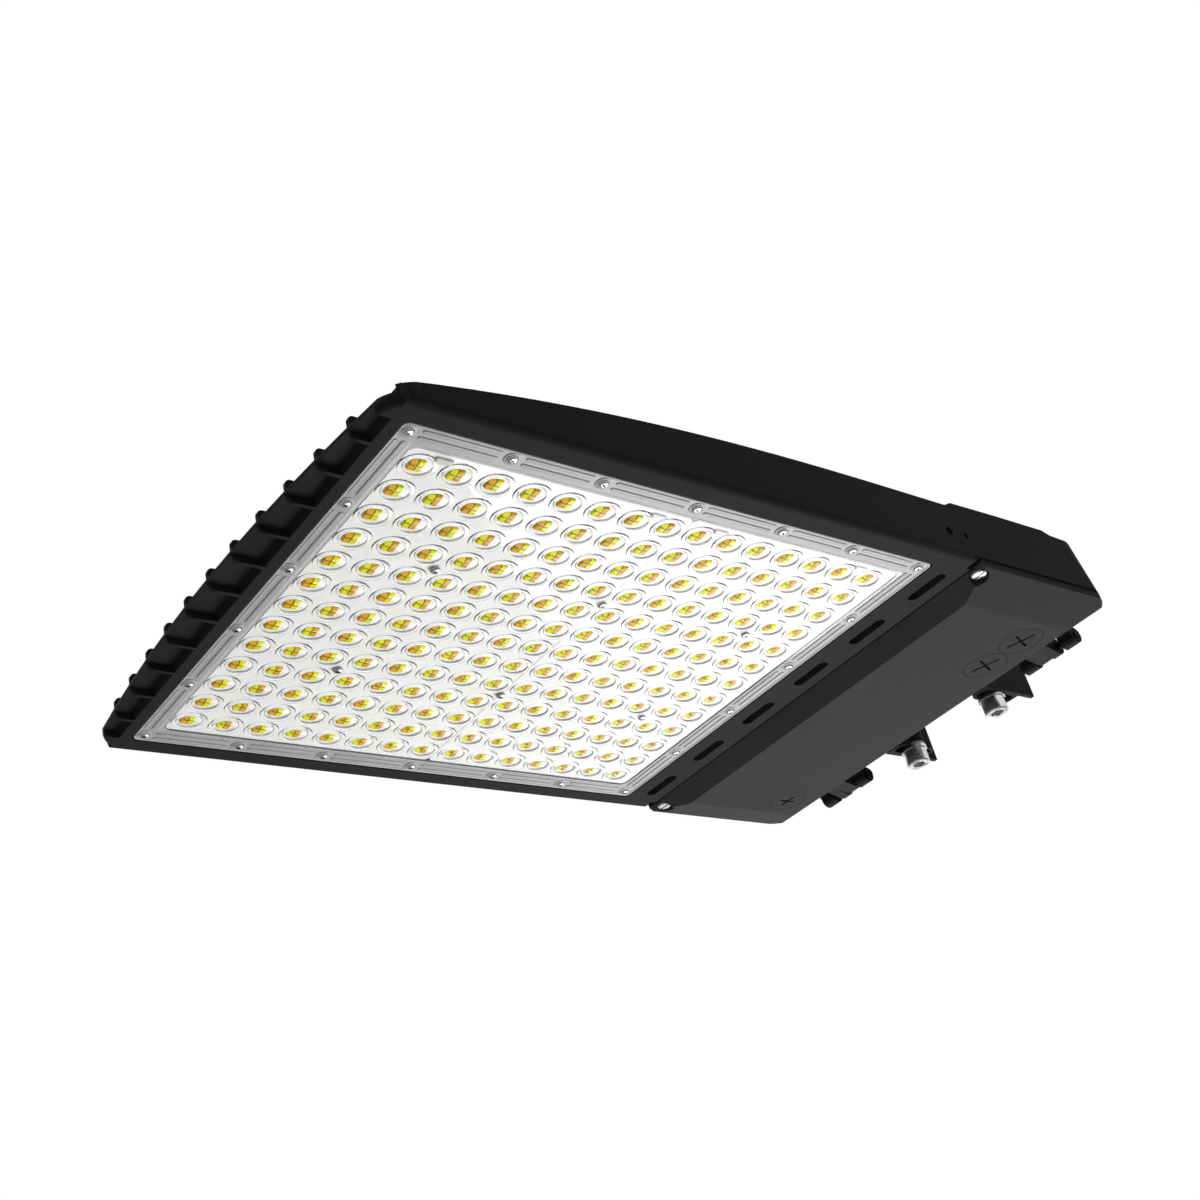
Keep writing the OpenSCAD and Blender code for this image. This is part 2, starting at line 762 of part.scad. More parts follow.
// Side view of a lug with the arm that joins it to the door
module door_lug(r) {
  y_lug = y_door_rear - door_lip_w + 0.2;
  translate([y_hinge, z_hinge]) circle(r);
  polygon([
    [y_lug, -2.2], [y_door_rear, -2.6], [y_hinge - 2, z_hinge - r], [y_hinge, z_hinge],
    [y_hinge - 2, z_hinge + r * 0.8], [y_door_rear + 2, z_door_lip], [y_lug, z_door_lip]
  ]);
}

module door() {
  piece([0.29, 0.29, 0.29]) difference() {
    union() {
      difference() {
        door_block(0, z_door_lip);
        // Inner tray
        intersection() {
          door_block(door_t, 20);
          translate([0, 0, -30]) linear_extrude(60) difference() {
            door_plan(door_rim_w);
            for (s = [-1, 1]) translate([s * door_screw_x, door_screw_y])
              circle(gasket_turn_r + gasket_w + 0.8);
          }
        }
        // Ledge for the gasket, wider round the captive screws
        translate([0, 0, z_door_ledge]) linear_extrude(10) door_plan(door_lip_w);
      }
      for (p = [plug_a, plug_b, plug_c]) plug_boss(p);
      door_hinge_side();
      mirror([1, 0, 0]) door_hinge_side();
      for (s = [-1, 1]) translate([s * door_screw_x, door_screw_y, -1])
        cylinder(r = ear_r, h = ear_top + 1);
    }
    for (p = [plug_a, plug_b, plug_c]) plug_holes(p);
    for (s = [-1, 1]) {
      translate([s * door_screw_x, door_screw_y, -20]) cylinder(r = niche_r - 0.6, h = 20 + ear_low);
      translate([s * door_screw_x, door_screw_y, -20]) cylinder(r = door_screw_r + gap, h = 40);
      translate([s * door_screw_x, door_screw_y, ear_top]) cylinder(r = ear_r - 1, h = 20);
      translate([s * hinge_x, y_hinge, z_hinge]) rotate([0, 90, 0]) translate([0, 0, -30])
        cylinder(r = pin_r + gap, h = 60);
    }
  }
}

// Outline that passes the captive screws on their inner side
module gasket_plan(inset) {
  difference() {
    door_plan(inset);
    for (s = [-1, 1]) translate([s * door_screw_x, door_screw_y])
      circle(gasket_turn_r + inset - door_lip_w - 0.6);
  }
}

module door_gasket() {
  piece([0.08, 0.08, 0.08]) translate([0, 0, z_door_ledge]) linear_extrude(z_seat - z_door_ledge)
    difference() {
      gasket_plan(door_lip_w + 0.6);
      gasket_plan(door_lip_w + 0.6 + gasket_w);
    }
}

module hinge_pin() {
  translate([hinge_x - knuckle_in - 0.6, y_hinge, z_hinge]) rotate([0, 90, 0])
    cylinder(r = pin_r, h = knuckle_in + knuckle_out + knuckle_w + 1.6);
  translate([hinge_x - knuckle_in - 1.8, y_hinge, z_hinge]) rotate([0, 90, 0])
    cylinder(r = pin_r + 0.9, h = 1.5);
}

module hinge_pin_near() {
  piece([0.12, 0.12, 0.12]) hinge_pin();
}

module hinge_pin_far() {
  piece([0.12, 0.12, 0.12]) mirror([1, 0, 0]) hinge_pin();
}

// Captive screw of the door, its head in the niche
module door_screw(x) {
  head_low = -2.3;
  translate([x, door_screw_y, 0]) difference() {
    union() {
      translate([0, 0, head_low]) cylinder(r1 = 4.2, r2 = 5, h = 0.8);
      translate([0, 0, head_low + 0.8]) cylinder(r = 5, h = ear_low - head_low - 0.8);
      cylinder(r = door_screw_r, h = ear_top);
      translate([0, 0, ear_top]) cylinder(r = door_screw_r - 0.6, h = ring_t + 0.2);
      translate([0, 0, ear_top + ring_t + 0.2])
        cylinder(r = door_screw_r, h = door_screw_tip - ear_top - ring_t - 0.2);
    }
    translate([-6, -0.7, head_low - 1]) cube([12, 1.4, 2.4]);
  }
}

module door_screw_near() {
  piece([0.8, 0.8, 0.8]) door_screw(door_screw_x);
}

module door_screw_far() {
  piece([0.8, 0.8, 0.8]) door_screw(-door_screw_x);
}

// Ring that keeps the screw in the door
module screw_retainer(x) {
  translate([x, door_screw_y, ear_top + 0.1]) linear_extrude(ring_t) difference() {
    circle(4.4);
    circle(door_screw_r - 0.55);
    translate([-1.4, 0]) square([2.8, 10]);
  }
}

module screw_retainer_near() {
  piece([0.5, 0.5, 0.5]) screw_retainer(door_screw_x);
}

module screw_retainer_far() {
  piece([0.5, 0.5, 0.5]) screw_retainer(-door_screw_x);
}

// Threaded plug, flush with the door, with a cross slot
module plug(p) {
  translate([p[0], p[1], 0]) difference() {
    union() {
      translate([0, 0, z_door]) cylinder(r = p[2], h = plug_head_h);
      translate([0, 0, z_door + 1]) cylinder(r = p[2] - plug_thread_in, h = plug_top - z_door - 1);
    }
    rotate(p[4]) for (a = [0, 90]) rotate(a)
      translate([-p[3] / 2, -0.8, z_door - 1]) cube([p[3], 1.6, 2.2]);
    translate([0, 0, z_door + 3.2]) cylinder(r = p[2] - plug_thread_in - 2, h = 10);
  }
}

module plug_oring(p) {
  translate([p[0], p[1], z_door + plug_head_h + oring_r + 0.02]) rotate_extrude()
    translate([p[2] - oring_in, 0]) circle(oring_r, $fn = 32);
}

module plug_power() {
  piece([0.29, 0.29, 0.29]) plug(plug_a);
}

module plug_colour() {
  piece([0.29, 0.29, 0.29]) plug(plug_b);
}

module plug_sensor() {
  piece([0.29, 0.29, 0.29]) plug(plug_c);
}

module oring_power() {
  piece([0.05, 0.05, 0.05]) plug_oring(plug_a);
}

module oring_colour() {
  piece([0.05, 0.05, 0.05]) plug_oring(plug_b);
}

module oring_sensor() {
  piece([0.05, 0.05, 0.05]) plug_oring(plug_c);
}

// ---------------------------------------------------------------- arm mount

module arm_bolts() {
  piece([0.82, 0.82, 0.82]) for (s = [-1, 1]) translate([s * bolt_x, 0, 0]) difference() {
    union() {
      translate([0, 0, z_head]) cylinder(r1 = head_r - 0.7, r2 = head_r, h = 0.7);
      translate([0, 0, z_head + 0.7]) cylinder(r = head_r, h = head_h - 0.7);
      translate([0, 0, z_washer]) cylinder(r = shank_r, h = bolt_l);
      translate([0, 0, pad_top + gap]) cylinder(r = m10_r, h = bolt_l + z_washer - pad_top - gap);
    }
    translate([0, 0, z_head - 1]) cylinder(r = hex_af / sqrt(3), h = 6, $fn = 6);
  }
}

module flat_washers() {
  piece([0.85, 0.85, 0.85]) for (s = [-1, 1]) translate([s * bolt_x, 0, z_washer])
    linear_extrude(washer_t) difference() {
      circle(washer_r);
      circle(m10_r + 0.25);
    }
}

// Split ring: the cut is where its ends would be
module spring_washers() {
  piece([0.45, 0.45, 0.45]) for (s = [-1, 1]) translate([s * bolt_x, 0, z_washer + washer_t])
    linear_extrude(spring_t) difference() {
      circle(8.6);
      circle(m10_r + 0.2);
      rotate(25) translate([4, -0.6]) square([8, 1.2]);
    }
}

// ---------------------------------------------------------------- bay contents

module at_driver_screws() {
  for (x = [driver_x0 - tab_l / 2, driver_x1 + tab_l / 2], y = tab_y)
    translate([x, y, z_ceiling - eps]) children();
}

module driver() {
  piece([0.7, 0.7, 0.68]) difference() {
    union() {
      across(driver_x0, driver_x1)
        round_rect(driver_y0, driver_low, driver_y1, z_ceiling, 2);
      slab([driver_x0 - tab_l, driver_y0 + 4, z_ceiling - tab_t],
        [driver_x1 + tab_l, driver_y1 - 4, z_ceiling]);
    }
    at_driver_screws() translate([0, 0, -tab_t - 1]) cylinder(r = m4_r + 0.3, h = tab_t + 2);
  }
}

module driver_screws() {
  piece([0.75, 0.75, 0.75]) at_driver_screws()
    pan_screw(-tab_t + eps, m4_r, tab_t + 2.4, m4_head_r, m4_head_h);
}

module at_surge_screws() {
  for (s = [-1, 1]) translate([surge_x + s * surge_screw_x, surge_y, z_ceiling_rear - eps])
    children();
}

module surge_protector() {
  piece([0.15, 0.15, 0.16]) difference() {
    union() {
      translate([surge_x - surge_box.x / 2, surge_y - surge_box.y / 2, z_ceiling_rear - surge_box.z])
        cube(surge_box);
      translate([surge_x, surge_y, z_ceiling_rear - surge_tab_t]) linear_extrude(surge_tab_t)
        obround(surge_tab.x, surge_tab.y);
    }
    at_surge_screws() translate([0, 0, -4]) cylinder(r = m3_r + 0.3, h = 5);
  }
}

module surge_screws() {
  piece([0.75, 0.75, 0.75]) at_surge_screws()
    pan_screw(eps - surge_tab_t, m3_r, surge_tab_t + 2.4, m3_head_r, m3_head_h);
}

// Three ways side by side; the wires enter at the rear
module terminal_block() {
  piece([0.9, 0.9, 0.86]) difference() {
    translate([terminal_x - terminal_box.x / 2, terminal_y - terminal_box.y / 2,
      z_ceiling_rear - terminal_box.z]) cube(terminal_box);
    for (n = [-1 : 1]) translate([terminal_x + n * terminal_pitch, terminal_y, z_ceiling_rear]) {
      translate([0, 0, -terminal_box.z - 1]) cylinder(r = 3, h = 6.5);
      translate([0, -terminal_box.y / 2 - 1, -7]) rotate([-90, 0, 0])
        cylinder(r = 2, h = terminal_box.y + 2);
    }
  }
}

module terminal_screws() {
  piece([0.75, 0.75, 0.75]) for (n = [-1 : 1])
    translate([terminal_x + n * terminal_pitch, terminal_y, z_ceiling_rear - 13]) difference() {
      cylinder(r = 2.7, h = 3.5);
      translate([-4, -0.5, -1]) cube([8, 1, 2]);
    }
}

module ground_screw() {
  piece([0.25, 0.55, 0.3]) translate([ground_x, terminal_y, z_ceiling_rear])
    pan_screw(0, m4_r, 2.4, m4_head_r + 0.6, m4_head_h);
}

module at_bracket_screws() {
  for (x = [plug_b[0] - 2, plug_a[0] + 2, plug_c[0]])
    translate([x, driver_y1 + 7, z_ceiling - eps]) children();
}

// Bent sheet that hangs from the ceiling and carries what sits behind the plugs
module hanging_bracket(x0, x1, holes) {
  y0 = driver_y1 + 2;
  difference() {
    union() {
      slab([x0, y0, z_ceiling - sheet_t], [x1, y0 + 9.5, z_ceiling]);
      slab([x0, y0 + 9.5 - sheet_t, z_switch_plate], [x1, y0 + 9.5, z_ceiling]);
      slab([x0, y0 + 9.5 - sheet_t, z_switch_plate], [x1, plug_y + 10, z_switch_plate + sheet_t]);
    }
    at_bracket_screws() translate([0, 0, -4]) cylinder(r = m3_r + 0.3, h = 5);
    for (x = holes) translate([x, plug_y, z_switch_plate - 1]) cylinder(r = 4.3, h = 4);
  }
}

module selector_bracket() {
  piece([0.72, 0.72, 0.72])
    hanging_bracket(plug_b[0] - 12, plug_a[0] + 12, [plug_a[0], plug_b[0]]);
}

module sensor_bracket() {
  piece([0.72, 0.72, 0.72]) hanging_bracket(plug_c[0] - 12, plug_c[0] + 12, [plug_c[0]]);
}

module bracket_screws() {
  piece([0.75, 0.75, 0.75]) at_bracket_screws()
    pan_screw(-sheet_t + eps, m3_r, sheet_t + 2.4, m3_head_r, m3_head_h);
}

// Rotary switch under the bracket plate with its bush and a bore for the knob
module rotary_switch(x) {
  translate([x, plug_y, z_switch_plate - switch_h]) difference() {
    union() {
      cylinder(r = switch_r, h = switch_h);
      cylinder(r = 4, h = switch_h + sheet_t + 3);
    }
    translate([0, 0, -1]) cylinder(r = 2.6, h = 5);
  }
}

module selector_knob(x) {
  z_top = z_switch_plate - switch_h - gap;
  translate([x, plug_y, 0]) difference() {
    union() {
      translate([0, 0, knob_low]) cylinder(r = knob_r, h = z_top - knob_low);
      translate([0, 0, z_top - 1]) cylinder(r = 2.3, h = 3.6);
    }
    translate([-knob_r * 0.8, -0.6, knob_low - 1]) cube([knob_r * 1.6, 1.2, 2.6]);
    translate([knob_r * 0.55, 0, knob_low - 1]) cylinder(r = 0.8, h = 1.6);
  }
}

module power_switch() {
  piece([0.12, 0.14, 0.3]) rotary_switch(plug_a[0]);
}

module power_knob() {
  piece([0.85, 0.85, 0.8]) selector_knob(plug_a[0]);
}

module colour_switch() {
  piece([0.12, 0.14, 0.3]) rotary_switch(plug_b[0]);
}

module colour_knob() {
  piece([0.85, 0.85, 0.8]) selector_knob(plug_b[0]);
}

// Four pin socket for an add-on sensor
module sensor_socket() {
  piece([0.1, 0.1, 0.1]) translate([plug_c[0], plug_c[1], 0]) difference() {
    union() {
      translate([0, 0, 4]) cylinder(r = 8, h = z_switch_plate - 4);
      translate([0, 0, z_switch_plate - 1]) cylinder(r = 4, h = sheet_t + 4);
    }
    translate([0, 0, 3]) cylinder(r = 6.4, h = 8);
    for (a = [45 : 90 : 315]) rotate(a) translate([3, 0, 3]) cylinder(r = 0.8, h = 13);
  }
}

// Rubber grommet in the leaning rear wall
module wire_grommet() {
  piece([0.06, 0.06, 0.06]) translate([0, y_door_rear, z_seat]) rotate([rear_lean, 0, 0])
    translate([0, 0, (grommet_z - z_seat) / cos(rear_lean)]) rotate([90, 0, 0]) difference() {
      union() {
        translate([0, 0, -1.6]) cylinder(r = grommet_r + 2.2, h = 1.5);
        translate([0, 0, -1]) cylinder(r = grommet_r - 0.1, h = wall + 2, $fn = 8);
        translate([0, 0, wall + 0.1]) cylinder(r = grommet_r + 2.2, h = 1.5);
      }
      translate([0, 0, -3]) cylinder(r = 4.5, h = wall + 8);
    }
}

// Round wire through a list of points
module wire(points, r) {
  for (i = [0 : len(points) - 2]) {
    a = points[i];
    b = points[i + 1];
    v = b - a;
    l = norm(v);
    translate(a) rotate([0, acos(v[2] / l), atan2(v[1], v[0])]) cylinder(r = r, h = l);
    if (i > 0) translate(a) sphere(r * 1.06);
  }
}

module led_cable() {
  y_turn = driver_y0 + 11;
  piece([0.9, 0.9, 0.9]) wire([
    [cable_x, y_lens_rear - rim_w - 5, cable_z], [cable_x, y_turn, cable_z],
    [cable_x + 4, y_turn, cable_z + 10], [driver_x1 + 2.5, y_turn, cable_z + 14],
    [driver_x1 + 0.1, y_turn, cable_z + 14]
  ], cable_r);
}

// Three wires from the terminal block to the driver
module input_wires() {
  piece([0.1, 0.1, 0.1]) for (n = [-1 : 1])
    translate([terminal_x + n * 11, driver_y1 + 0.1, z_ceiling_rear - 7]) rotate([-90, 0, 0])
      cylinder(r = input_r, h = terminal_y - driver_y1 - 3.2);
}

// ---------------------------------------------------------------- pieces

housing();
lens_plate();
lens_gasket();
led_board_front();
led_board_rear();
led_chips_amber();
led_chips_yellow();
board_connectors();
rim_screws();
field_screws();
door();
door_gasket();
hinge_pin_near();
hinge_pin_far();
door_screw_near();
door_screw_far();
screw_retainer_near();
screw_retainer_far();
plug_power();
plug_colour();
plug_sensor();
oring_power();
oring_colour();
oring_sensor();
arm_bolts();
flat_washers();
spring_washers();
driver();
driver_screws();
surge_protector();
surge_screws();
terminal_block();
terminal_screws();
ground_screw();
selector_bracket();
bracket_screws();
power_switch();
power_knob();
colour_switch();
colour_knob();
sensor_socket();
sensor_bracket();
wire_grommet();
led_cable();
input_wires();
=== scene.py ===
import math

import bmesh
import bpy
from bpy.props import FloatProperty, FloatVectorProperty, IntProperty, PointerProperty
from mathutils import Matrix, Vector


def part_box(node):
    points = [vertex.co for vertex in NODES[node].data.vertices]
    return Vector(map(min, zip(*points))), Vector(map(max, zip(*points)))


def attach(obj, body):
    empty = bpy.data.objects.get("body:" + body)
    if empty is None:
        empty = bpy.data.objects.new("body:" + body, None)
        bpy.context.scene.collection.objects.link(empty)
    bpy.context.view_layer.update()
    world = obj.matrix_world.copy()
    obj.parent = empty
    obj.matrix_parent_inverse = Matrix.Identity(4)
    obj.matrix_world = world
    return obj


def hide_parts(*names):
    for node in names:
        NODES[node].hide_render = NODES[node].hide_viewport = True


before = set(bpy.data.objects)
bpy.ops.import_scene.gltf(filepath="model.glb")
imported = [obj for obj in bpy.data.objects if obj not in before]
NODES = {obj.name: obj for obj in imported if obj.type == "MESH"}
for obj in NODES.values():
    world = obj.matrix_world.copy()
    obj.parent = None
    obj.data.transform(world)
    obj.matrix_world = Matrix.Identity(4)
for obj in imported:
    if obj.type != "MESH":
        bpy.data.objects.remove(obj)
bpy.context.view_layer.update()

bl_info = {
    "name": "Shoebox area light",
    "version": (1, 0, 0),
    "blender": (4, 5, 0),
    "location": "View3D > Sidebar > Area light",
    "description": "Builds the finishes, lenses, screws and studio of a shoebox area light",
    "category": "Object",
}


# ---------------------------------------------------------------- fixed sizes, in metres

TINY = 1e-5                     # measures nearer than this are the same
DECIMALS = 5                    # places that a corner is rounded to

LENS_ROWS, LENS_COLUMNS = 13, 15
HALF_GAP = 0.0002               # half of the gap between a cluster's packages
PLATE_THICK = 0.0030            # from the gasket down to the plate's lower face
PLATE_TOP = 0.0010              # upper face of the lens field above its lower face
FIELD_OVERLAP = 0.0012          # how far the lens field reaches over the rim's inner edge
LENS_SHIFT = 0.0010             # the lenses stand this far across from their clusters
FOOT_FILLET = 0.0003            # round between a lens foot's side and its flat
FOOT_DRAFT = 0.00005            # lean of a lens foot's side
DOME_FILLET = 0.0002            # round between the foot and the dome
DOME_TURNS = (4, 14, 25, 36, 47, 58, 68, 77, 84)
CAVITY_HALF = (0.0060, 0.0070)  # half width and half length of the hollow
CAVITY_RIM = 0.0004             # height at which the hollow's round top begins
CAVITY_FLARE = (0.0003, 0.0001)  # how much wider it is at the plate's face and at its rim
CAVITY_TURNS = (0, 12, 24, 36, 48, 60, 72, 82)

RIM_WIDTH, RIM_WIDTH_FRONT = 0.0132, 0.0112
RIM_SET_BACK = 0.0009           # from the plate's lower face up to the dressed rim
RIM_OUTER = ((0.0, -0.0001), (0.0003, -0.0005), (0.0011, -0.0005), (0.0014, -0.0003),
             (0.0016, -0.0001))  # inset and height of the raised edge
RIM_INNER = ((0.0, -0.0001), (-0.0002, 0.0002))
RIM_OUTER_RADIUS, RIM_INNER_RADIUS, RIM_LEAST_RADIUS = 0.0035, 0.006, 0.0012
SEAT_RING = ((0.0042, 0.0001), (0.0042, -0.0004), (0.0038, -0.0006), (0.0031, -0.0006),
             (0.0029, -0.0002), (0.0, -0.0002))  # radius and height round a rim screw
RIB_OFFSETS = (-0.0022, 0.0022)  # the two ribs lie on either side of the screws' line
RIB_CLEAR = 0.013               # what a rib is shorter than the way from screw to screw
RIB_RADIUS = 0.00105
RIB_DEPTH = 0.0006
RIB_SECTION = ((1.0, 0.5), (0.82, 0.88), (0.45, 1.0))  # shares of the radius and the depth
RIB_ROOT = 0.0001               # how far a rib starts inside the rim
RIB_END_STEPS = 8
CORNER_STEPS = 8

SHADE_PAD_HALF = 0.0030               # the dark pad behind a cluster, painted shade in the gaps between its packages
SHADE_PAD_DEPTH = 0.0001
PACKAGE_CHAMFER = (0.00007, 0.00012)  # inset and height of the window's edge

SCREW_CLEAR = 0.006             # less than the way between two screws
SCREW_SEAT = 0.0002             # the heads sit this far below the rim's face
SCREW_STEPS = 28
HEAD_RADIUS, HEAD_HEIGHT = 0.0027, 0.0016
HEAD_UNDER = (0.55, 0.0004)     # share of the radius and height of the head's underside
HEAD_PROFILE = ((1.0, 0.0), (1.0, 0.35), (0.94, 0.62), (0.8, 0.84), (0.6, 0.96), (0.4, 1.0),
                (0.0, 1.0))     # shares of the head's radius and height
# the cross recess is a near-black block standing just proud of the crown: painted shade
RECESS_RADIUS, RECESS_SHARE = 0.0013, 0.27
RECESS_DEPTH, RECESS_PROUD = 0.0002, 0.00002
RECESS_TURNS = (30, 120)
SHANK_RADIUS, SHANK_TIP, SHANK_TAPER, SHANK_STEPS = 0.0015, 0.0012, 0.0004, 16

EDGE_ANGLE = 30.0               # edges sharper than this are rounded
WELD_DISTANCE = 0.000002


# ---------------------------------------------------------------- sizes and colours to choose

def colour(name, text, value):
    return FloatVectorProperty(name=name, description=text, default=value, subtype="COLOR",
                               size=4, min=0.0, max=1.0)


def length(name, text, value):
    return FloatProperty(name=name, description=text, default=value, unit="LENGTH",
                         subtype="DISTANCE", precision=5, min=0.0)


class AreaLightFinishes(bpy.types.PropertyGroup):
    """Colours of the light's finishes."""
    coat: colour("Powder coat", "Colour of the cast housing and door",
                 (0.030, 0.030, 0.030, 1.0))
    coat_rough: FloatProperty(name="Coat roughness", description="Roughness of the powder coat",
                              default=0.52, subtype="FACTOR", min=0.0, max=1.0)
    board: colour("LED board", "Solder mask of the LED boards", (0.9, 0.9, 0.895, 1.0))
    amber: colour("Amber package", "Phosphor of the warm LED packages", (0.76, 0.43, 0.0, 1.0))
    yellow: colour("Yellow package", "Phosphor of the cool LED packages",
                   (0.83, 0.83, 0.0, 1.0))
    rim: colour("Lens rim", "Moulded rim of the lens plate", (0.5, 0.5, 0.495, 1.0))
    steel: colour("Stainless", "Bolts and screws", (0.62, 0.62, 0.62, 1.0))
    rubber: colour("Rubber", "Gaskets, rings and grommet", (0.012, 0.012, 0.012, 1.0))


class AreaLightSizes(bpy.types.PropertyGroup):
    """Sizes of the moulded and turned details."""
    lens_length: length("Lens length", "Length of one lens foot along the light", 0.0196)
    lens_width: length("Lens width", "Width of one lens foot across the light", 0.0174)
    foot_height: length("Lens foot", "Height of the lens foot", 0.0008)
    dome_height: length("Dome height", "Height of the dome from the plate", 0.00234)
    foot_margin: length("Foot margin", "Width of the foot round the dome", 0.0027)
    cavity_depth: length("Cavity depth", "Depth of the hollow inside a lens", 0.0012)
    package: length("LED package", "Side of one LED package", 0.0030)
    edge_round: length("Edge rounding", "Rounding of the casting's edges", 0.0005)
    ring_steps: IntProperty(name="Ring steps", description="Segments round one lens",
                            default=32, min=16, max=64)


def sizes():
    return bpy.context.scene.area_light_sizes


def finishes():
    return bpy.context.scene.area_light_finishes


# ---------------------------------------------------------------- shader nodes

MIX_FACTOR, MIX_A, MIX_B, MIX_RESULT = 0, 6, 7, 2  # sockets of a mix node set to colours


def feed(tree, value, socket):
    """Links a socket to another one, or sets it to a plain value."""
    if isinstance(value, bpy.types.NodeSocket):
        tree.links.new(value, socket)
    else:
        socket.default_value = value


def math_node(tree, kind, a, b):
    node = tree.nodes.new("ShaderNodeMath")
    node.operation = kind
    feed(tree, a, node.inputs[0])
    feed(tree, b, node.inputs[1])
    return node.outputs[0]


def noise_node(tree, place, scale, detail, rough=0.5):
    node = tree.nodes.new("ShaderNodeTexNoise")
    for label, value in (("Vector", place), ("Scale", scale), ("Detail", detail),
                         ("Roughness", rough)):
        feed(tree, value, node.inputs[label])
    return node.outputs["Fac"]


def range_node(tree, value, low, high, to_low=0.0, to_high=1.0):
    node = tree.nodes.new("ShaderNodeMapRange")
    node.clamp = True
    for label, v in (("Value", value), ("From Min", low), ("From Max", high),
                     ("To Min", to_low), ("To Max", to_high)):
        feed(tree, v, node.inputs[label])
    return node.outputs["Result"]


def mix_colour(tree, factor, a, b):
    node = tree.nodes.new("ShaderNodeMix")
    node.data_type = "RGBA"
    for index, value in ((MIX_FACTOR, factor), (MIX_A, a), (MIX_B, b)):
        feed(tree, value, node.inputs[index])
    return node.outputs[MIX_RESULT]


# ---------------------------------------------------------------- shader groups

def start_group(name, inputs, outputs):
    tree = bpy.data.node_groups.new(name, "ShaderNodeTree")
    tree.interface.new_socket(name="Place", in_out="INPUT", socket_type="NodeSocketVector")
    for label, value in inputs:
        socket = tree.interface.new_socket(name=label, in_out="INPUT",
                                           socket_type="NodeSocketFloat")
        socket.default_value = value
    for label in outputs:
        tree.interface.new_socket(name=label, in_out="OUTPUT", socket_type="NodeSocketFloat")
    start = tree.nodes.new("NodeGroupInput").outputs
    end = tree.nodes.new("NodeGroupOutput").inputs
    return tree, start, end


def build_powder_grain():
    """Orange-peel grain of a powder coat: a fine pebble over a slower wave."""
    tree, start, end = start_group(
        "powder_grain", (("Pebble Scale", 1400.0), ("Wave Scale", 260.0), ("Wave Share", 0.35)),
        ("Height", "Speckle"))
    pebble = noise_node(tree, start["Place"], start["Pebble Scale"], 2.0, 0.6)
    wave = noise_node(tree, start["Place"], start["Wave Scale"], 1.0)
    share = math_node(tree, "MULTIPLY", wave, start["Wave Share"])
    feed(tree, math_node(tree, "ADD", pebble, share), end["Height"])
    feed(tree, range_node(tree, pebble, 0.42, 0.66), end["Speckle"])
    return tree


def build_tone_drift():
    """Slow change of tone and gloss over a surface, as a mask from 0 to 1."""
    tree, start, end = start_group(
        "tone_drift", (("Scale", 14.0), ("Low", 0.35), ("High", 0.68)), ("Mask",))
    slow = noise_node(tree, start["Place"], start["Scale"], 4.0, 0.55)
    feed(tree, range_node(tree, slow, start["Low"], start["High"]), end["Mask"])
    return tree


def build_turned_lines():
    """Fine lines round the piece's own Z axis, as turning leaves them."""
    tree, start, end = start_group(
        "turned_lines", (("Scale", 900.0), ("Stretch", 0.06)), ("Height", "Shade"))
    split = tree.nodes.new("ShaderNodeSeparateXYZ")
    join = tree.nodes.new("ShaderNodeCombineXYZ")
    feed(tree, start["Place"], split.inputs[0])
    for i in (0, 1):
        feed(tree, math_node(tree, "MULTIPLY", split.outputs[i], start["Stretch"]),
             join.inputs[i])
    feed(tree, split.outputs[2], join.inputs[2])
    lines = noise_node(tree, join.outputs[0], start["Scale"], 3.0, 0.7)
    feed(tree, lines, end["Height"])
    feed(tree, range_node(tree, lines, 0.35, 0.65), end["Shade"])
    return tree


GROUP_BUILDERS = {"powder_grain": build_powder_grain, "tone_drift": build_tone_drift,
                  "turned_lines": build_turned_lines}
GROUPS = {}


def place_group(tree, name, place, **values):
    """Puts a shader group in a material; each group's tree is built once."""
    if name not in GROUPS:
        GROUPS[name] = GROUP_BUILDERS[name]()
    node = tree.nodes.new("ShaderNodeGroup")
    node.node_tree = GROUPS[name]
    feed(tree, place, node.inputs["Place"])
    for label, value in values.items():
        feed(tree, value, node.inputs[label.replace("_", " ")])
    return node.outputs


# ---------------------------------------------------------------- materials

POWDER_PEBBLE, POWDER_DEPTH, POWDER_BUMP = 1400.0, 0.00004, 0.8
POWDER_SPECULAR = 0.02
FLECK_SHARE, FLECK_TONE = 0.22, 1.7
METAL_DEPTH, METAL_BUMP = 0.000003, 0.25
MOULDED_WAVE, MOULDED_BUMP = 0.2, 0.6
CLEAR_IOR = 1.3
CLEAR_WAVE, CLEAR_DEPTH, CLEAR_BUMP = 300.0, 0.000004, 0.3
RECESS_SHADE_TONE = 0.03              # share of a plug's colour left in its recesses, as painted shade
PLUG_SHADE_HEIGHT = 0.0003            # height above a plug's face where the recess is fully dark: painted shade


def start_material(name):
    material = bpy.data.materials.new(name)
    material.use_nodes = True
    tree = material.node_tree
    shader = tree.nodes["Principled BSDF"]
    place = tree.nodes.new("ShaderNodeTexCoord").outputs["Object"]
    return material, tree, shader.inputs, place


def add_bump(tree, shader, height, distance, strength):
    bump = tree.nodes.new("ShaderNodeBump")
    bump.inputs["Distance"].default_value = distance
    bump.inputs["Strength"].default_value = strength
    feed(tree, height, bump.inputs["Height"])
    feed(tree, bump.outputs["Normal"], shader["Normal"])


def shade_of(value, factor):
    """The colour made darker or lighter by a factor, at most white."""
    return tuple(min(1.0, c * factor) for c in value[:3]) + (1.0,)


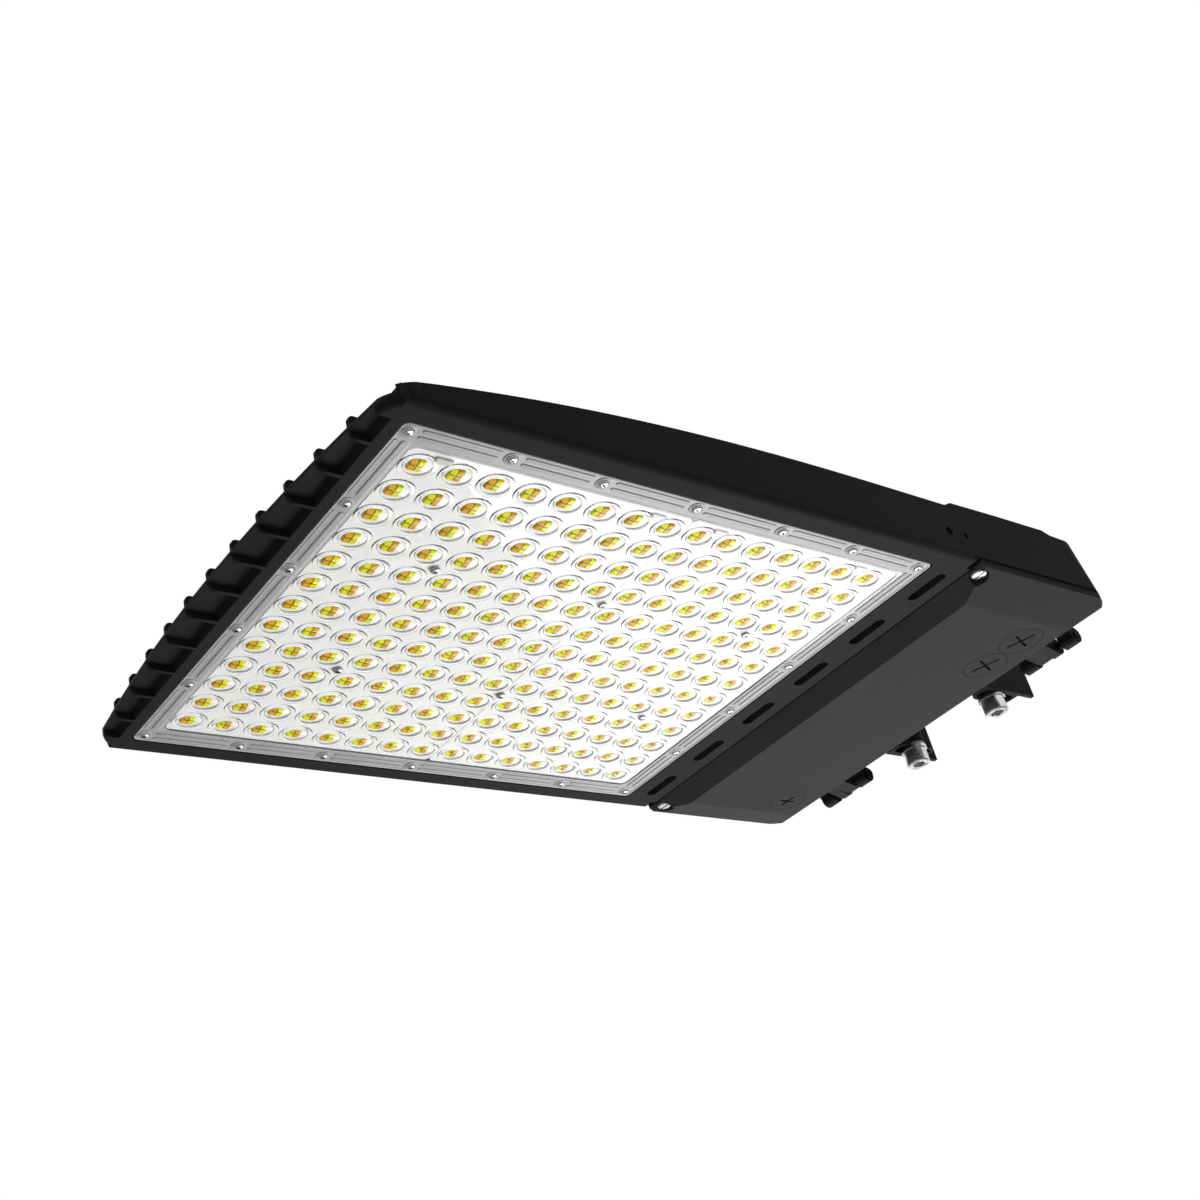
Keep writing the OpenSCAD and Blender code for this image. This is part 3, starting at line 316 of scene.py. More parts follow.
def powder_coat(name, base, rough):
    """Powder coat with fine flecks and a slow drift of tone and gloss."""
    material, tree, shader, place = start_material(name)
    grain = place_group(tree, "powder_grain", place, Pebble_Scale=POWDER_PEBBLE)
    drift = place_group(tree, "tone_drift", place, Scale=9.0)
    tone = mix_colour(tree, drift["Mask"], shade_of(base, 0.9), shade_of(base, 1.1))
    fleck = math_node(tree, "MULTIPLY", grain["Speckle"], FLECK_SHARE)
    feed(tree, mix_colour(tree, fleck, tone, shade_of(base, FLECK_TONE)), shader["Base Color"])
    feed(tree, range_node(tree, drift["Mask"], 0.0, 1.0, rough - 0.04, rough + 0.05),
         shader["Roughness"])
    shader["Specular IOR Level"].default_value = POWDER_SPECULAR
    add_bump(tree, shader, grain["Height"], POWDER_DEPTH, POWDER_BUMP)
    return material


def plug_coat_with_painted_shade(name, base, rough, face):
    """Powder coat with painted shade: it turns dark in the recesses above a plug's face."""
    material = powder_coat(name, base, rough)
    tree = material.node_tree
    base_colour = tree.nodes["Principled BSDF"].inputs["Base Color"]
    coat = base_colour.links[0].from_socket
    split = tree.nodes.new("ShaderNodeSeparateXYZ")
    feed(tree, tree.nodes.new("ShaderNodeTexCoord").outputs["Object"], split.inputs[0])
    # painted shade: above the plug's face, where the recesses are, the coat fades to nearly
    # black
    painted_shade = range_node(tree, split.outputs[2], face + PLUG_SHADE_HEIGHT * 0.5, face + PLUG_SHADE_HEIGHT)
    feed(tree, mix_colour(tree, painted_shade, coat, shade_of(base, RECESS_SHADE_TONE)), base_colour)
    return material


def bright_metal(name, base, rough, scale=2400.0, stretch=0.06):
    """Bare metal with fine turned lines."""
    material, tree, shader, place = start_material(name)
    lines = place_group(tree, "turned_lines", place, Scale=scale, Stretch=stretch)
    drift = place_group(tree, "tone_drift", place, Scale=120.0)
    feed(tree, mix_colour(tree, lines["Shade"], shade_of(base, 0.95), shade_of(base, 1.04)),
         shader["Base Color"])
    feed(tree, range_node(tree, drift["Mask"], 0.0, 1.0, rough - 0.05, rough + 0.08),
         shader["Roughness"])
    shader["Metallic"].default_value = 1.0
    add_bump(tree, shader, lines["Height"], METAL_DEPTH, METAL_BUMP)
    return material


def moulded(name, base, rough, pebble=2600.0, depth=0.00001, specular=0.45, spread=0.06):
    """Moulded plastic, rubber or solder mask: a fine pebble and a drift of tone."""
    material, tree, shader, place = start_material(name)
    grain = place_group(tree, "powder_grain", place, Pebble_Scale=pebble,
                        Wave_Share=MOULDED_WAVE)
    drift = place_group(tree, "tone_drift", place, Scale=40.0)
    feed(tree, mix_colour(tree, drift["Mask"], shade_of(base, 1.0 - spread),
                          shade_of(base, 1.0 + spread)), shader["Base Color"])
    feed(tree, range_node(tree, grain["Speckle"], 0.0, 1.0, rough, rough + 0.1),
         shader["Roughness"])
    shader["Specular IOR Level"].default_value = specular
    add_bump(tree, shader, grain["Height"], depth, MOULDED_BUMP)
    return material


def clear_plastic(name):
    """Clear moulded plastic that lets light pass straight through to what is behind it."""
    material, tree, shader, place = start_material(name)
    drift = place_group(tree, "tone_drift", place, Scale=60.0)
    feed(tree, mix_colour(tree, drift["Mask"], (0.985, 0.985, 0.975, 1.0),
                          (1.0, 1.0, 0.995, 1.0)), shader["Base Color"])
    feed(tree, range_node(tree, drift["Mask"], 0.0, 1.0, 0.015, 0.035), shader["Roughness"])
    shader["Transmission Weight"].default_value = 1.0
    shader["IOR"].default_value = CLEAR_IOR
    shader["Specular IOR Level"].default_value = 0.0
    wave = place_group(tree, "powder_grain", place, Pebble_Scale=CLEAR_WAVE)
    add_bump(tree, shader, wave["Height"], CLEAR_DEPTH, CLEAR_BUMP)
    choose = tree.nodes.new("ShaderNodeMixShader")
    for socket, output in zip(choose.inputs, (
            tree.nodes.new("ShaderNodeLightPath").outputs["Is Shadow Ray"],
            tree.nodes["Principled BSDF"].outputs[0],
            tree.nodes.new("ShaderNodeBsdfTransparent").outputs[0])):
        feed(tree, output, socket)
    feed(tree, choose.outputs[0], tree.nodes["Material Output"].inputs["Surface"])
    return material


def chip(name, base):
    """Phosphor window of an LED package."""
    return moulded(name, base, 0.6, pebble=5200.0, specular=0.05, spread=0.05)


def shade_makers():
    """What makes each finish, by its name."""
    f = finishes()
    coat, rough = tuple(f.coat), f.coat_rough
    return {
        "casting": lambda name: powder_coat(name, coat, rough),
        # door and plug coats: the casting's powder coat painted lighter, standing in for the
        # stronger light on the door (painted light)
        "door_coat_painted_light": lambda name: powder_coat(name, shade_of(coat, 1.6), rough),
        "plug_coat_painted_light_and_shade": lambda name: plug_coat_with_painted_shade(name, shade_of(coat, 1.55), rough,
                                              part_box("plug_power")[0].z),
        # near-black coat of the hinge pins, also used as painted shade in the screw heads'
        # cross recesses
        "near_black_pins_and_recess_shade": lambda name: powder_coat(name, (0.012, 0.012, 0.012, 1.0), 0.4),
        "green_screw": lambda name: powder_coat(name, (0.02, 0.2, 0.05, 1.0), 0.35),
        "lens_clear": clear_plastic,
        "lens_rim": lambda name: moulded(name, tuple(f.rim), 0.3, pebble=1800.0, specular=0.5,
                                         spread=0.05),
        "board": lambda name: moulded(name, tuple(f.board), 0.42, pebble=3200.0,
                                      depth=0.000006, specular=0.4, spread=0.015),
        "amber": lambda name: chip(name, tuple(f.amber)),
        "yellow": lambda name: chip(name, tuple(f.yellow)),
        # dark brown for the packages' inner sides and the pads behind them: painted shade in
        # the gaps of a cluster
        "package_painted_shade": lambda name: moulded(name, (0.33, 0.2, 0.01, 1.0), 0.5),
        "rubber": lambda name: moulded(name, tuple(f.rubber), 0.62, pebble=1600.0,
                                       depth=0.00003, specular=0.25, spread=0.2),
        "black_plastic": lambda name: moulded(name, (0.015, 0.015, 0.016, 1.0), 0.4),
        "white_plastic": lambda name: moulded(name, (0.74, 0.74, 0.71, 1.0), 0.4),
        "blue_plastic": lambda name: moulded(name, (0.02, 0.045, 0.2, 1.0), 0.35),
        "steel": lambda name: bright_metal(name, tuple(f.steel), 0.24),
        "dark_steel": lambda name: bright_metal(name, (0.2, 0.2, 0.2, 1.0), 0.4),
        "aluminium": lambda name: bright_metal(name, (0.6, 0.6, 0.59, 1.0), 0.38, scale=500.0,
                                               stretch=0.02),
    }


SHADES = {}


def shade(name):
    """The finish of that name, made once."""
    if name not in SHADES:
        SHADES[name] = shade_makers()[name](name)
    return SHADES[name]


# ---------------------------------------------------------------- mesh helpers

def finish_mesh(name, bm, shades, body, nodes, smooth):
    """Turns a bmesh into a piece that rides on a body and takes the place of CAD nodes."""
    mesh = bpy.data.meshes.new(name)
    bmesh.ops.recalc_face_normals(bm, faces=bm.faces)
    bm.to_mesh(mesh)
    bm.free()
    for s in shades:
        mesh.materials.append(shade(s))
    if smooth:
        mesh.shade_smooth()
        mesh.set_sharp_from_angle(angle=math.radians(smooth))
    piece = bpy.data.objects.new(name, mesh)
    bpy.context.scene.collection.objects.link(piece)
    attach(piece, body)
    if nodes:
        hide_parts(*nodes)


def join_loops(bm, loops):
    """Faces between each loop of vertices and the next one."""
    count = len(loops[0])
    for a, b in zip(loops, loops[1:]):
        for k in range(count):
            n = (k + 1) % count
            bm.faces.new((a[k], a[n], b[n], b[k]))


def add_lathe(bm, profile, x, y, steps):
    """Turns a profile of (radius, height) about an upright axis."""
    rings = []
    for r, z in profile:
        if not r:
            rings.append([bm.verts.new((0, 0, z))])
        else:
            rings.append([bm.verts.new((r * math.cos(2 * math.pi * k / steps),
                                        r * math.sin(2 * math.pi * k / steps), z))
                          for k in range(steps)])
    for a, b in zip(rings, rings[1:]):
        for k in range(steps):
            n = (k + 1) % steps
            if len(a) == 1 and len(b) > 1:
                bm.faces.new((a[0], b[k], b[n]))
            elif len(b) == 1 and len(a) > 1:
                bm.faces.new((a[k], a[n], b[0]))
            elif len(a) > 1:
                bm.faces.new((a[k], a[n], b[n], b[k]))
    bmesh.ops.transform(bm, matrix=Matrix.Translation((x, y, 0)),
                        verts=[v for ring in rings for v in ring])


def add_block(bm, low, high, index=0, turn=0.0, centre=(0, 0, 0)):
    """Box between two corners, turned about an upright axis through a centre."""
    made = bmesh.ops.create_cube(bm, size=1.0)["verts"]
    bmesh.ops.scale(bm, vec=Vector(high) - Vector(low), verts=made)
    for f in {f for v in made for f in v.link_faces}:
        f.material_index = index
    middle = (Vector(high) + Vector(low)) / 2
    matrix = Matrix.Translation(middle)
    if turn:
        matrix = (Matrix.Translation(centre) @ Matrix.Rotation(math.radians(turn), 4, "Z")
                  @ Matrix.Translation(middle - Vector(centre)))
    bmesh.ops.transform(bm, matrix=matrix, verts=made)


def dress(node, finish, bevel=0.0):
    """Gives a CAD node its finish, and rounds its edges with modifiers."""
    piece = NODES[node]
    piece.data.materials.clear()
    piece.data.materials.append(shade(finish))
    if bevel:
        weld = piece.modifiers.new("weld", "WELD")
        weld.merge_threshold = WELD_DISTANCE
        edge = piece.modifiers.new("edge_round", "BEVEL")
        edge.width = bevel
        edge.segments = 2
        edge.limit_method = "ANGLE"
        edge.angle_limit = math.radians(EDGE_ANGLE)
        edge.harden_normals = False


# ---------------------------------------------------------------- LED field

def plate_low():
    """Height of the lens plate's lower face, taken from the gasket above it."""
    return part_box("lens_gasket")[0].z - PLATE_THICK


def lens_grid():
    """Centres of the lenses, read from the CAD packages: rows across, columns along."""
    amber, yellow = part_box("led_chips_amber"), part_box("led_chips_yellow")
    half = sizes().package + HALF_GAP
    x0, x1 = amber[0].x + half, amber[1].x - half
    y0, y1 = min(amber[0].y, yellow[0].y) + half, max(amber[1].y, yellow[1].y) - half
    return ([x0 + (x1 - x0) * j / (LENS_ROWS - 1) for j in range(LENS_ROWS)],
            [y0 + (y1 - y0) * i / (LENS_COLUMNS - 1) for i in range(LENS_COLUMNS)])


def cell_ring(x0, y0, x1, y1, steps):
    """Points on a cell's outline, one for each step, corners included."""
    side = steps // 4
    corners = [(x1, y0), (x1, y1), (x0, y1), (x0, y0)]
    ring = []
    for a, b in zip(corners, corners[1:] + corners[:1]):
        for n in range(side):
            t = n / side
            ring.append((a[0] + (b[0] - a[0]) * t, a[1] + (b[1] - a[1]) * t))
    return ring


def dome_rings(a, b, foot, rise, turns):
    """Half width, half length and height of a dome's rings, from its foot to its crown."""
    rings = []
    for t in turns:
        c, h = math.cos(math.radians(t)), math.sin(math.radians(t))
        rings.append((a * c, b * c, foot + rise * h))
    return rings


def lens_rings(s):
    """Half width, half length and depth of the rings from a lens's foot to its crown."""
    a, b = s.lens_width / 2, s.lens_length / 2
    da, db = a - s.foot_margin, b - s.foot_margin
    return [(a, b, 0.0), (a - FOOT_DRAFT, b - FOOT_DRAFT, s.foot_height - FOOT_FILLET),
            (a - FOOT_FILLET, b - FOOT_FILLET, s.foot_height),
            (da + DOME_FILLET, db + DOME_FILLET, s.foot_height)] + dome_rings(
                da, db, s.foot_height, s.dome_height - s.foot_height, DOME_TURNS)


def cavity_rings(s):
    """Half width, half length and height of the hollow inside a lens, from its top down."""
    a, b = CAVITY_HALF
    return [(a + flare, b + flare, z) for flare, z in
            zip(CAVITY_FLARE, (PLATE_TOP, CAVITY_RIM))] + dome_rings(
                a, b, CAVITY_RIM, -s.cavity_depth, CAVITY_TURNS)


def add_skin(bm, x, y, cell, rings, crown_z, steps):
    """One face of the plate over a cell: its outline, then rings up or down to a crown."""
    angles = [math.atan2(q[1], q[0]) for q in cell_ring(-1, -1, 1, 1, steps)]
    loops = [[bm.verts.new((q[0], q[1], rings[0][2])) for q in cell_ring(*cell, steps)]]
    for a, b, z in rings:
        loops.append([bm.verts.new((x + a * math.cos(g), y + b * math.sin(g), z))
                      for g in angles])
    join_loops(bm, loops)
    crown = bm.verts.new((x, y, crown_z))
    for k in range(steps):
        bm.faces.new((loops[-1][k], loops[-1][(k + 1) % steps], crown))


def add_lens(bm, x, y, z, cell, s):
    """One lens, hollow above, with the part of the plate around it."""
    under = [(a, b, z - depth) for a, b, depth in lens_rings(s)]
    over = [(a, b, z + height) for a, b, height in cavity_rings(s)]
    x += LENS_SHIFT
    add_skin(bm, x, y, cell, under, z - s.dome_height, s.ring_steps)
    add_skin(bm, x, y, cell, over, z + CAVITY_RIM - s.cavity_depth, s.ring_steps)


def rim_hole():
    """Inner edge of the lens plate's rim, taken from the plate's own outline."""
    low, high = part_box("lens_plate")
    return (low.x + RIM_WIDTH, low.y + RIM_WIDTH_FRONT, high.x - RIM_WIDTH,
            high.y - RIM_WIDTH)


def cell_edges(low, centres, high):
    """Edges of the cells: halfway between the lenses, and under the rim at both ends."""
    between = [(a + b) / 2 for a, b in zip(centres, centres[1:])]
    return [low - FIELD_OVERLAP] + between + [high + FIELD_OVERLAP]


class AREALIGHT_OT_lens_field(bpy.types.Operator):
    """Clear field of the lens plate with one dome below each LED cluster"""
    bl_idname = "arealight.lens_field"
    bl_label = "Lens field"

    def execute(self, context):
        s = sizes()
        xs, ys = lens_grid()
        x0, y0, x1, y1 = rim_hole()
        x_cuts, y_cuts = cell_edges(x0, xs, x1), cell_edges(y0, ys, y1)
        z = plate_low()
        bm = bmesh.new()
        for j, x in enumerate(xs):
            for i, y in enumerate(ys):
                add_lens(bm, x, y, z, (x_cuts[j], y_cuts[i], x_cuts[j + 1], y_cuts[i + 1]), s)
        bmesh.ops.remove_doubles(bm, verts=bm.verts, dist=1e-6)
        bmesh.ops.bridge_loops(bm, edges=[e for e in bm.edges if e.is_boundary])
        finish_mesh("lens_field", bm, ["lens_clear"], "housing", ["lens_plate"], 50)
        return {"FINISHED"}


def rounded_outline(x0, y0, x1, y1, r):
    pts = []
    for cx, cy, a0 in ((x1 - r, y0 + r, -90), (x1 - r, y1 - r, 0), (x0 + r, y1 - r, 90),
                       (x0 + r, y0 + r, 180)):
        for k in range(CORNER_STEPS + 1):
            a = math.radians(a0 + 90 * k / CORNER_STEPS)
            pts.append((cx + r * math.cos(a), cy + r * math.sin(a)))
    return pts


def add_rim(bm, *sides):
    """Closed band between two rounded rectangles, each with its (inset, height) profile."""
    loops = []
    for (x0, y0, x1, y1), profile, radius in sides:
        for inset, z in profile:
            r = max(radius - inset, RIM_LEAST_RADIUS)
            loops.append([bm.verts.new((p[0], p[1], z)) for p in
                          rounded_outline(x0 + inset, y0 + inset, x1 - inset, y1 - inset, r)])
    join_loops(bm, loops + loops[:1])


def add_rib(bm, x, y, run, z, lengthways):
    """Rounded rib standing down from the rim."""
    loops = []
    for f, dz in ((1.0, RIB_ROOT),) + tuple((f, -RIB_DEPTH * d) for f, d in RIB_SECTION):
        loop = []
        for end, start in ((1, 0), (-1, math.pi)):
            for k in range(RIB_END_STEPS + 1):
                a = math.radians(-90 + 180 * k / RIB_END_STEPS) + start
                u = end * (run / 2 - RIB_RADIUS) + RIB_RADIUS * f * math.cos(a)
                v = RIB_RADIUS * f * math.sin(a)
                p = (x + v, y + u) if lengthways else (x + u, y + v)
                loop.append(bm.verts.new((p[0], p[1], z + dz)))
        loops.append(loop)
    join_loops(bm, loops)
    bm.faces.new(loops[-1])
    bm.faces.new(loops[0])


def screw_places(node):
    """Centres of a CAD node's screws, from the vertices at their tips."""
    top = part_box(node)[1].z
    groups = []
    for v in NODES[node].data.vertices:
        if abs(v.co.z - top) < TINY:
            near = [g for g in groups if (g[0] - v.co).length < SCREW_CLEAR]
            if near:
                near[0].append(v.co)
            else:
                groups.append([v.co])
    return sorted(((min(p.x for p in g) + max(p.x for p in g)) / 2,
                   (min(p.y for p in g) + max(p.y for p in g)) / 2) for g in groups)


class AREALIGHT_OT_lens_rim(bpy.types.Operator):
    """Rim of the lens plate with its raised edge, ribs and screw seats"""
    bl_idname = "arealight.lens_rim"
    bl_label = "Lens rim"

    def execute(self, context):
        low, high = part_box("lens_plate")
        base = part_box("lens_gasket")[0].z
        z = plate_low() + RIM_SET_BACK
        outer = [(0.0, base)] + [(inset, z + dz) for inset, dz in RIM_OUTER]
        inner = [(inset, z + dz) for inset, dz in RIM_INNER] + [(RIM_INNER[-1][0], base)]
        bm = bmesh.new()
        add_rim(bm, ((low.x, low.y, high.x, high.y), outer, RIM_OUTER_RADIUS),
                (rim_hole(), inner, RIM_INNER_RADIUS))
        places = screw_places("rim_screws")
        near = 0.001
        side_x = max(x for x, y in places)
        end_ys = (min(y for x, y in places), max(y for x, y in places))
        along = sorted(y for x, y in places if abs(x - side_x) < near)
        across = sorted(x for x, y in places if abs(y - end_ys[0]) < near)
        for x in (-side_x, side_x):
            for a, b in zip(along, along[1:]):
                for off in RIB_OFFSETS:
                    add_rib(bm, x + off, (a + b) / 2, (b - a) - RIB_CLEAR, z, True)
        for y in end_ys:
            for a, b in zip(across, across[1:]):
                for off in RIB_OFFSETS:
                    add_rib(bm, (a + b) / 2, y + off, (b - a) - RIB_CLEAR, z, False)
        for x, y in places:
            add_lathe(bm, [(r, z + dz) for r, dz in SEAT_RING], x, y, SCREW_STEPS)
        finish_mesh("lens_rim", bm, ["lens_rim"], "housing", ["lens_plate"], 40)
        return {"FINISHED"}


def package_places(node):
    """Centres of the CAD packages."""
    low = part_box(node)[0].z
    side = sizes().package
    found = {(round(v.co.x, DECIMALS), round(v.co.y, DECIMALS))
             for v in NODES[node].data.vertices if abs(v.co.z - low) < TINY}
    return [(x + side / 2, y + side / 2) for x, y in sorted(found)
            if has_corner(found, x + side, y) and has_corner(found, x, y + side)
            and has_corner(found, x + side, y + side)]


def has_corner(found, x, y):
    """Whether there is a corner at that place, give or take one rounding step."""
    return any((round(x + dx, DECIMALS), round(y + dy, DECIMALS)) in found
               for dx in (-TINY, 0.0, TINY) for dy in (-TINY, 0.0, TINY))


def add_package(bm, x, y, low, high, side, inner):
    """Phosphor window and body of one package, with painted shade on its sides within the
    cluster.
    """
    h = side / 2
    inset, window = PACKAGE_CHAMFER
    loops = [[bm.verts.new((x + a * r, y + b * r, z)) for a, b in
              ((-1, -1), (1, -1), (1, 1), (-1, 1))]
             for r, z in ((h, high), (h, low + window), (h - inset, low))]
    for a, b in zip(loops, loops[1:]):
        for k in range(4):
            n = (k + 1) % 4
            face = bm.faces.new((a[k], a[n], b[n], b[k]))
            face.material_index = 1 if inner[k] else 0
    bm.faces.new(loops[-1])
    bm.faces.new(loops[0]).material_index = 1


class AREALIGHT_OT_led_packages(bpy.types.Operator):
    """LED packages in clusters of four, each with its phosphor window and body"""
    bl_idname = "arealight.led_packages"
    bl_label = "LED packages"

    def execute(self, context):
        xs, ys = lens_grid()
        for tone in ("amber", "yellow"):
            node = "led_chips_" + tone
            low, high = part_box(node)
            bm = bmesh.new()
            for x, y in package_places(node):
                cx = min(xs, key=lambda v: abs(v - x))
                cy = min(ys, key=lambda v: abs(v - y))
                # sides that face the middle of the cluster get painted shade
                inner = (cy < y, cx > x, cy > y, cx < x)
                add_package(bm, x, y, low.z, high.z, sizes().package, inner)
            finish_mesh(node + "_packages", bm, [tone, "package_painted_shade"], "housing", [node],
                        30)
        return {"FINISHED"}


class AREALIGHT_OT_led_boards(bpy.types.Operator):
    """White boards, connectors, gasket, cable, and the dark pads behind the clusters as painted
    shade between the packages
    """
    bl_idname = "arealight.led_boards"
    bl_label = "LED boards"

    def execute(self, context):
        dress("led_board_front", "board")
        dress("led_board_rear", "board")
        dress("board_connectors", "white_plastic", bevel=0.0002)
        dress("lens_gasket", "rubber")
        dress("led_cable", "white_plastic")
        xs, ys = lens_grid()
        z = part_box("led_board_front")[0].z
        bm = bmesh.new()
        for x in xs:
            for y in ys:
                add_block(bm, (x - SHADE_PAD_HALF, y - SHADE_PAD_HALF, z - SHADE_PAD_DEPTH),
                          (x + SHADE_PAD_HALF, y + SHADE_PAD_HALF, z))
        # dark pads behind the clusters: painted shade in the gaps between the packages
        finish_mesh("cluster_shade_pads", bm, ["package_painted_shade"], "housing", (), 0)
        return {"FINISHED"}


# ---------------------------------------------------------------- screws

def add_pan_head(bm, x, y, seat):
    """Pan head seen from below with a cross recess in its crown, drawn as a dark block for
    painted shade.
    """
    share, rise = HEAD_UNDER
    profile = [(HEAD_RADIUS * share, seat + rise)]
    profile += [(HEAD_RADIUS * r, seat - HEAD_HEIGHT * h) for r, h in HEAD_PROFILE]
    add_lathe(bm, profile, x, y, SCREW_STEPS)
    crown = seat - HEAD_HEIGHT
    w = RECESS_RADIUS * RECESS_SHARE
    for turn in RECESS_TURNS:
        add_block(bm, (x - RECESS_RADIUS, y - w, crown - RECESS_PROUD),
                  (x + RECESS_RADIUS, y + w, crown + RECESS_DEPTH), 1, turn, (x, y, seat))


class AREALIGHT_OT_lens_screws(bpy.types.Operator):
    """Pan head screws round the lens plate and between its lenses"""
    bl_idname = "arealight.lens_screws"
    bl_label = "Lens plate screws"

    def execute(self, context):
        seat = plate_low() + RIM_SET_BACK - SCREW_SEAT
        for node, name in (("rim_screws", "rim_screw_heads"),
                           ("field_screws", "field_screw_heads")):
            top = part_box(node)[1].z
            shank = [(0.0, top), (SHANK_TIP, top), (SHANK_RADIUS, top - SHANK_TAPER),
                     (SHANK_RADIUS, seat), (0.0, seat)]
            bm = bmesh.new()
            for x, y in screw_places(node):
                add_pan_head(bm, x, y, seat)
                add_lathe(bm, shank, x, y, SHANK_STEPS)
            finish_mesh(name, bm, ["steel", "near_black_pins_and_recess_shade"], "housing", [node], 40)
        return {"FINISHED"}


# ---------------------------------------------------------------- dressed CAD nodes

class AREALIGHT_OT_casting(bpy.types.Operator):
    """Powder coat and rounded edges of the cast housing"""
    bl_idname = "arealight.casting"
    bl_label = "Casting"

    def execute(self, context):
        dress("housing", "casting", bevel=sizes().edge_round)
        return {"FINISHED"}


class AREALIGHT_OT_door(bpy.types.Operator):
    """Powder coat of the door, its plugs, seals and hinge pins; the door's and plugs' coat is
    the casting's painted lighter, as painted light
    """
    bl_idname = "arealight.door"
    bl_label = "Door"

    def execute(self, context):
        # the door's coat is painted lighter than the casting's: painted light
        dress("door", "door_coat_painted_light", bevel=sizes().edge_round)
        for name in ("plug_power", "plug_colour", "plug_sensor"):
            dress(name, "plug_coat_painted_light_and_shade", bevel=0.00015)
        for name in ("door_gasket", "oring_power", "oring_colour", "oring_sensor"):
            dress(name, "rubber")
        for name in ("hinge_pin_near", "hinge_pin_far"):
            dress(name, "near_black_pins_and_recess_shade", bevel=0.0002)
        return {"FINISHED"}


class AREALIGHT_OT_door_screws(bpy.types.Operator):
    """Captive screws of the door with their retaining rings"""
    bl_idname = "arealight.door_screws"
    bl_label = "Door screws"

    def execute(self, context):
        for side in ("near", "far"):
            dress("door_screw_" + side, "steel")
            dress("screw_retainer_" + side, "dark_steel")
        return {"FINISHED"}


class AREALIGHT_OT_arm_mount(bpy.types.Operator):
    """Arm bolts with flat and spring washers, and the wire grommet"""
    bl_idname = "arealight.arm_mount"
    bl_label = "Arm mount"

    def execute(self, context):
        dress("arm_bolts", "steel")
        dress("flat_washers", "steel")
        dress("spring_washers", "dark_steel")
        dress("wire_grommet", "rubber", bevel=0.0002)
        return {"FINISHED"}


class AREALIGHT_OT_bay_parts(bpy.types.Operator):
    """Driver, surge protector, terminals, switches and brackets in the bay"""
    bl_idname = "arealight.bay_parts"
    bl_label = "Bay parts"

    def execute(self, context):
        for names, finish, edge in (
            (("driver",), "aluminium", 0.0006),
            (("selector_bracket", "sensor_bracket"), "aluminium", 0.0002),
            (("surge_protector", "sensor_socket", "input_wires"), "black_plastic", 0.0003),
            (("terminal_block", "power_knob", "colour_knob"), "white_plastic", 0.0003),
            (("power_switch", "colour_switch"), "blue_plastic", 0.0003),
            (("driver_screws", "surge_screws", "terminal_screws", "bracket_screws"), "steel",
             0.0001),
            (("ground_screw",), "green_screw", 0.0001),
        ):
            for name in names:
                dress(name, finish, bevel=edge)
        return {"FINISHED"}


# ---------------------------------------------------------------- studio

CAMERA_PLACE = (0.5627, -0.8579, -0.4370)
CAMERA_RIGHT = (0.590, 0.776, -0.224)
CAMERA_AHEAD = (-0.609, 0.610, 0.507)
CAMERA_LENS, CAMERA_SENSOR = 47.94, 36.0  # in millimetres
FLOOR_HALF, FLOOR_STEPS = 4.0, 24
FLOOR_MIDDLE = (0, -0.25, -1.35)
WORLD_DIFFUSE, WORLD_SEEN = 0.13, 1.0   # strength for diffuse rays, and for all others
LAMP_TARGET = (0.0, -0.25, 0.0)


def add_lamp(name, place, side, watts):
    """Square lamp that faces the light."""
    data = bpy.data.lights.new(name, "AREA")
    data.shape = "RECTANGLE"
    data.size = data.size_y = side
    data.energy = watts
    lamp = bpy.data.objects.new(name, data)
    lamp.location = place
    facing = Vector(LAMP_TARGET) - Vector(place)
    lamp.rotation_euler = facing.to_track_quat("-Z", "Y").to_euler()
    bpy.context.scene.collection.objects.link(lamp)
    return lamp


def add_camera(scene):
    camera = bpy.data.cameras.new("camera")
    camera.sensor_width = CAMERA_SENSOR
    camera.lens = CAMERA_LENS
    camera.clip_start = 0.01
    holder = bpy.data.objects.new("camera", camera)
    right = Vector(CAMERA_RIGHT).normalized()
    ahead = Vector(CAMERA_AHEAD).normalized()
    up = right.cross(ahead).normalized()
    right = ahead.cross(up).normalized()
    turn = Matrix((right, up, -ahead)).transposed().to_4x4()
    holder.matrix_world = Matrix.Translation(CAMERA_PLACE) @ turn
    scene.collection.objects.link(holder)
    scene.camera = holder


def add_floor(scene):
    bm = bmesh.new()
    bmesh.ops.create_grid(bm, x_segments=FLOOR_STEPS, y_segments=FLOOR_STEPS, size=FLOOR_HALF)
    bmesh.ops.translate(bm, vec=FLOOR_MIDDLE, verts=bm.verts)
    mesh = bpy.data.meshes.new("floor")
    bm.to_mesh(mesh)
    bm.free()
    paper, tree, shader, place = start_material("floor_paper")
    grain = place_group(tree, "powder_grain", place, Pebble_Scale=300.0)
    feed(tree, mix_colour(tree, grain["Speckle"], (0.8, 0.8, 0.8, 1.0),
                          (0.84, 0.84, 0.84, 1.0)), shader["Base Color"])
    shader["Roughness"].default_value = 0.9
    mesh.materials.append(paper)
    floor = bpy.data.objects.new("floor", mesh)
    scene.collection.objects.link(floor)


def add_surroundings(scene):
    """White world, at full strength for camera, glossy and transmission rays."""
    world = bpy.data.worlds.new("surroundings")
    scene.world = world
    world.use_nodes = True
    tree = world.node_tree
    back = tree.nodes["Background"].inputs
    back["Color"].default_value = (1, 1, 1, 1)
    path = tree.nodes.new("ShaderNodeLightPath").outputs
    seen = math_node(tree, "MAXIMUM", path["Is Camera Ray"], math_node(
        tree, "MAXIMUM", path["Is Glossy Ray"], path["Is Transmission Ray"]))
    feed(tree, range_node(tree, seen, 0.0, 1.0, WORLD_DIFFUSE, WORLD_SEEN), back["Strength"])


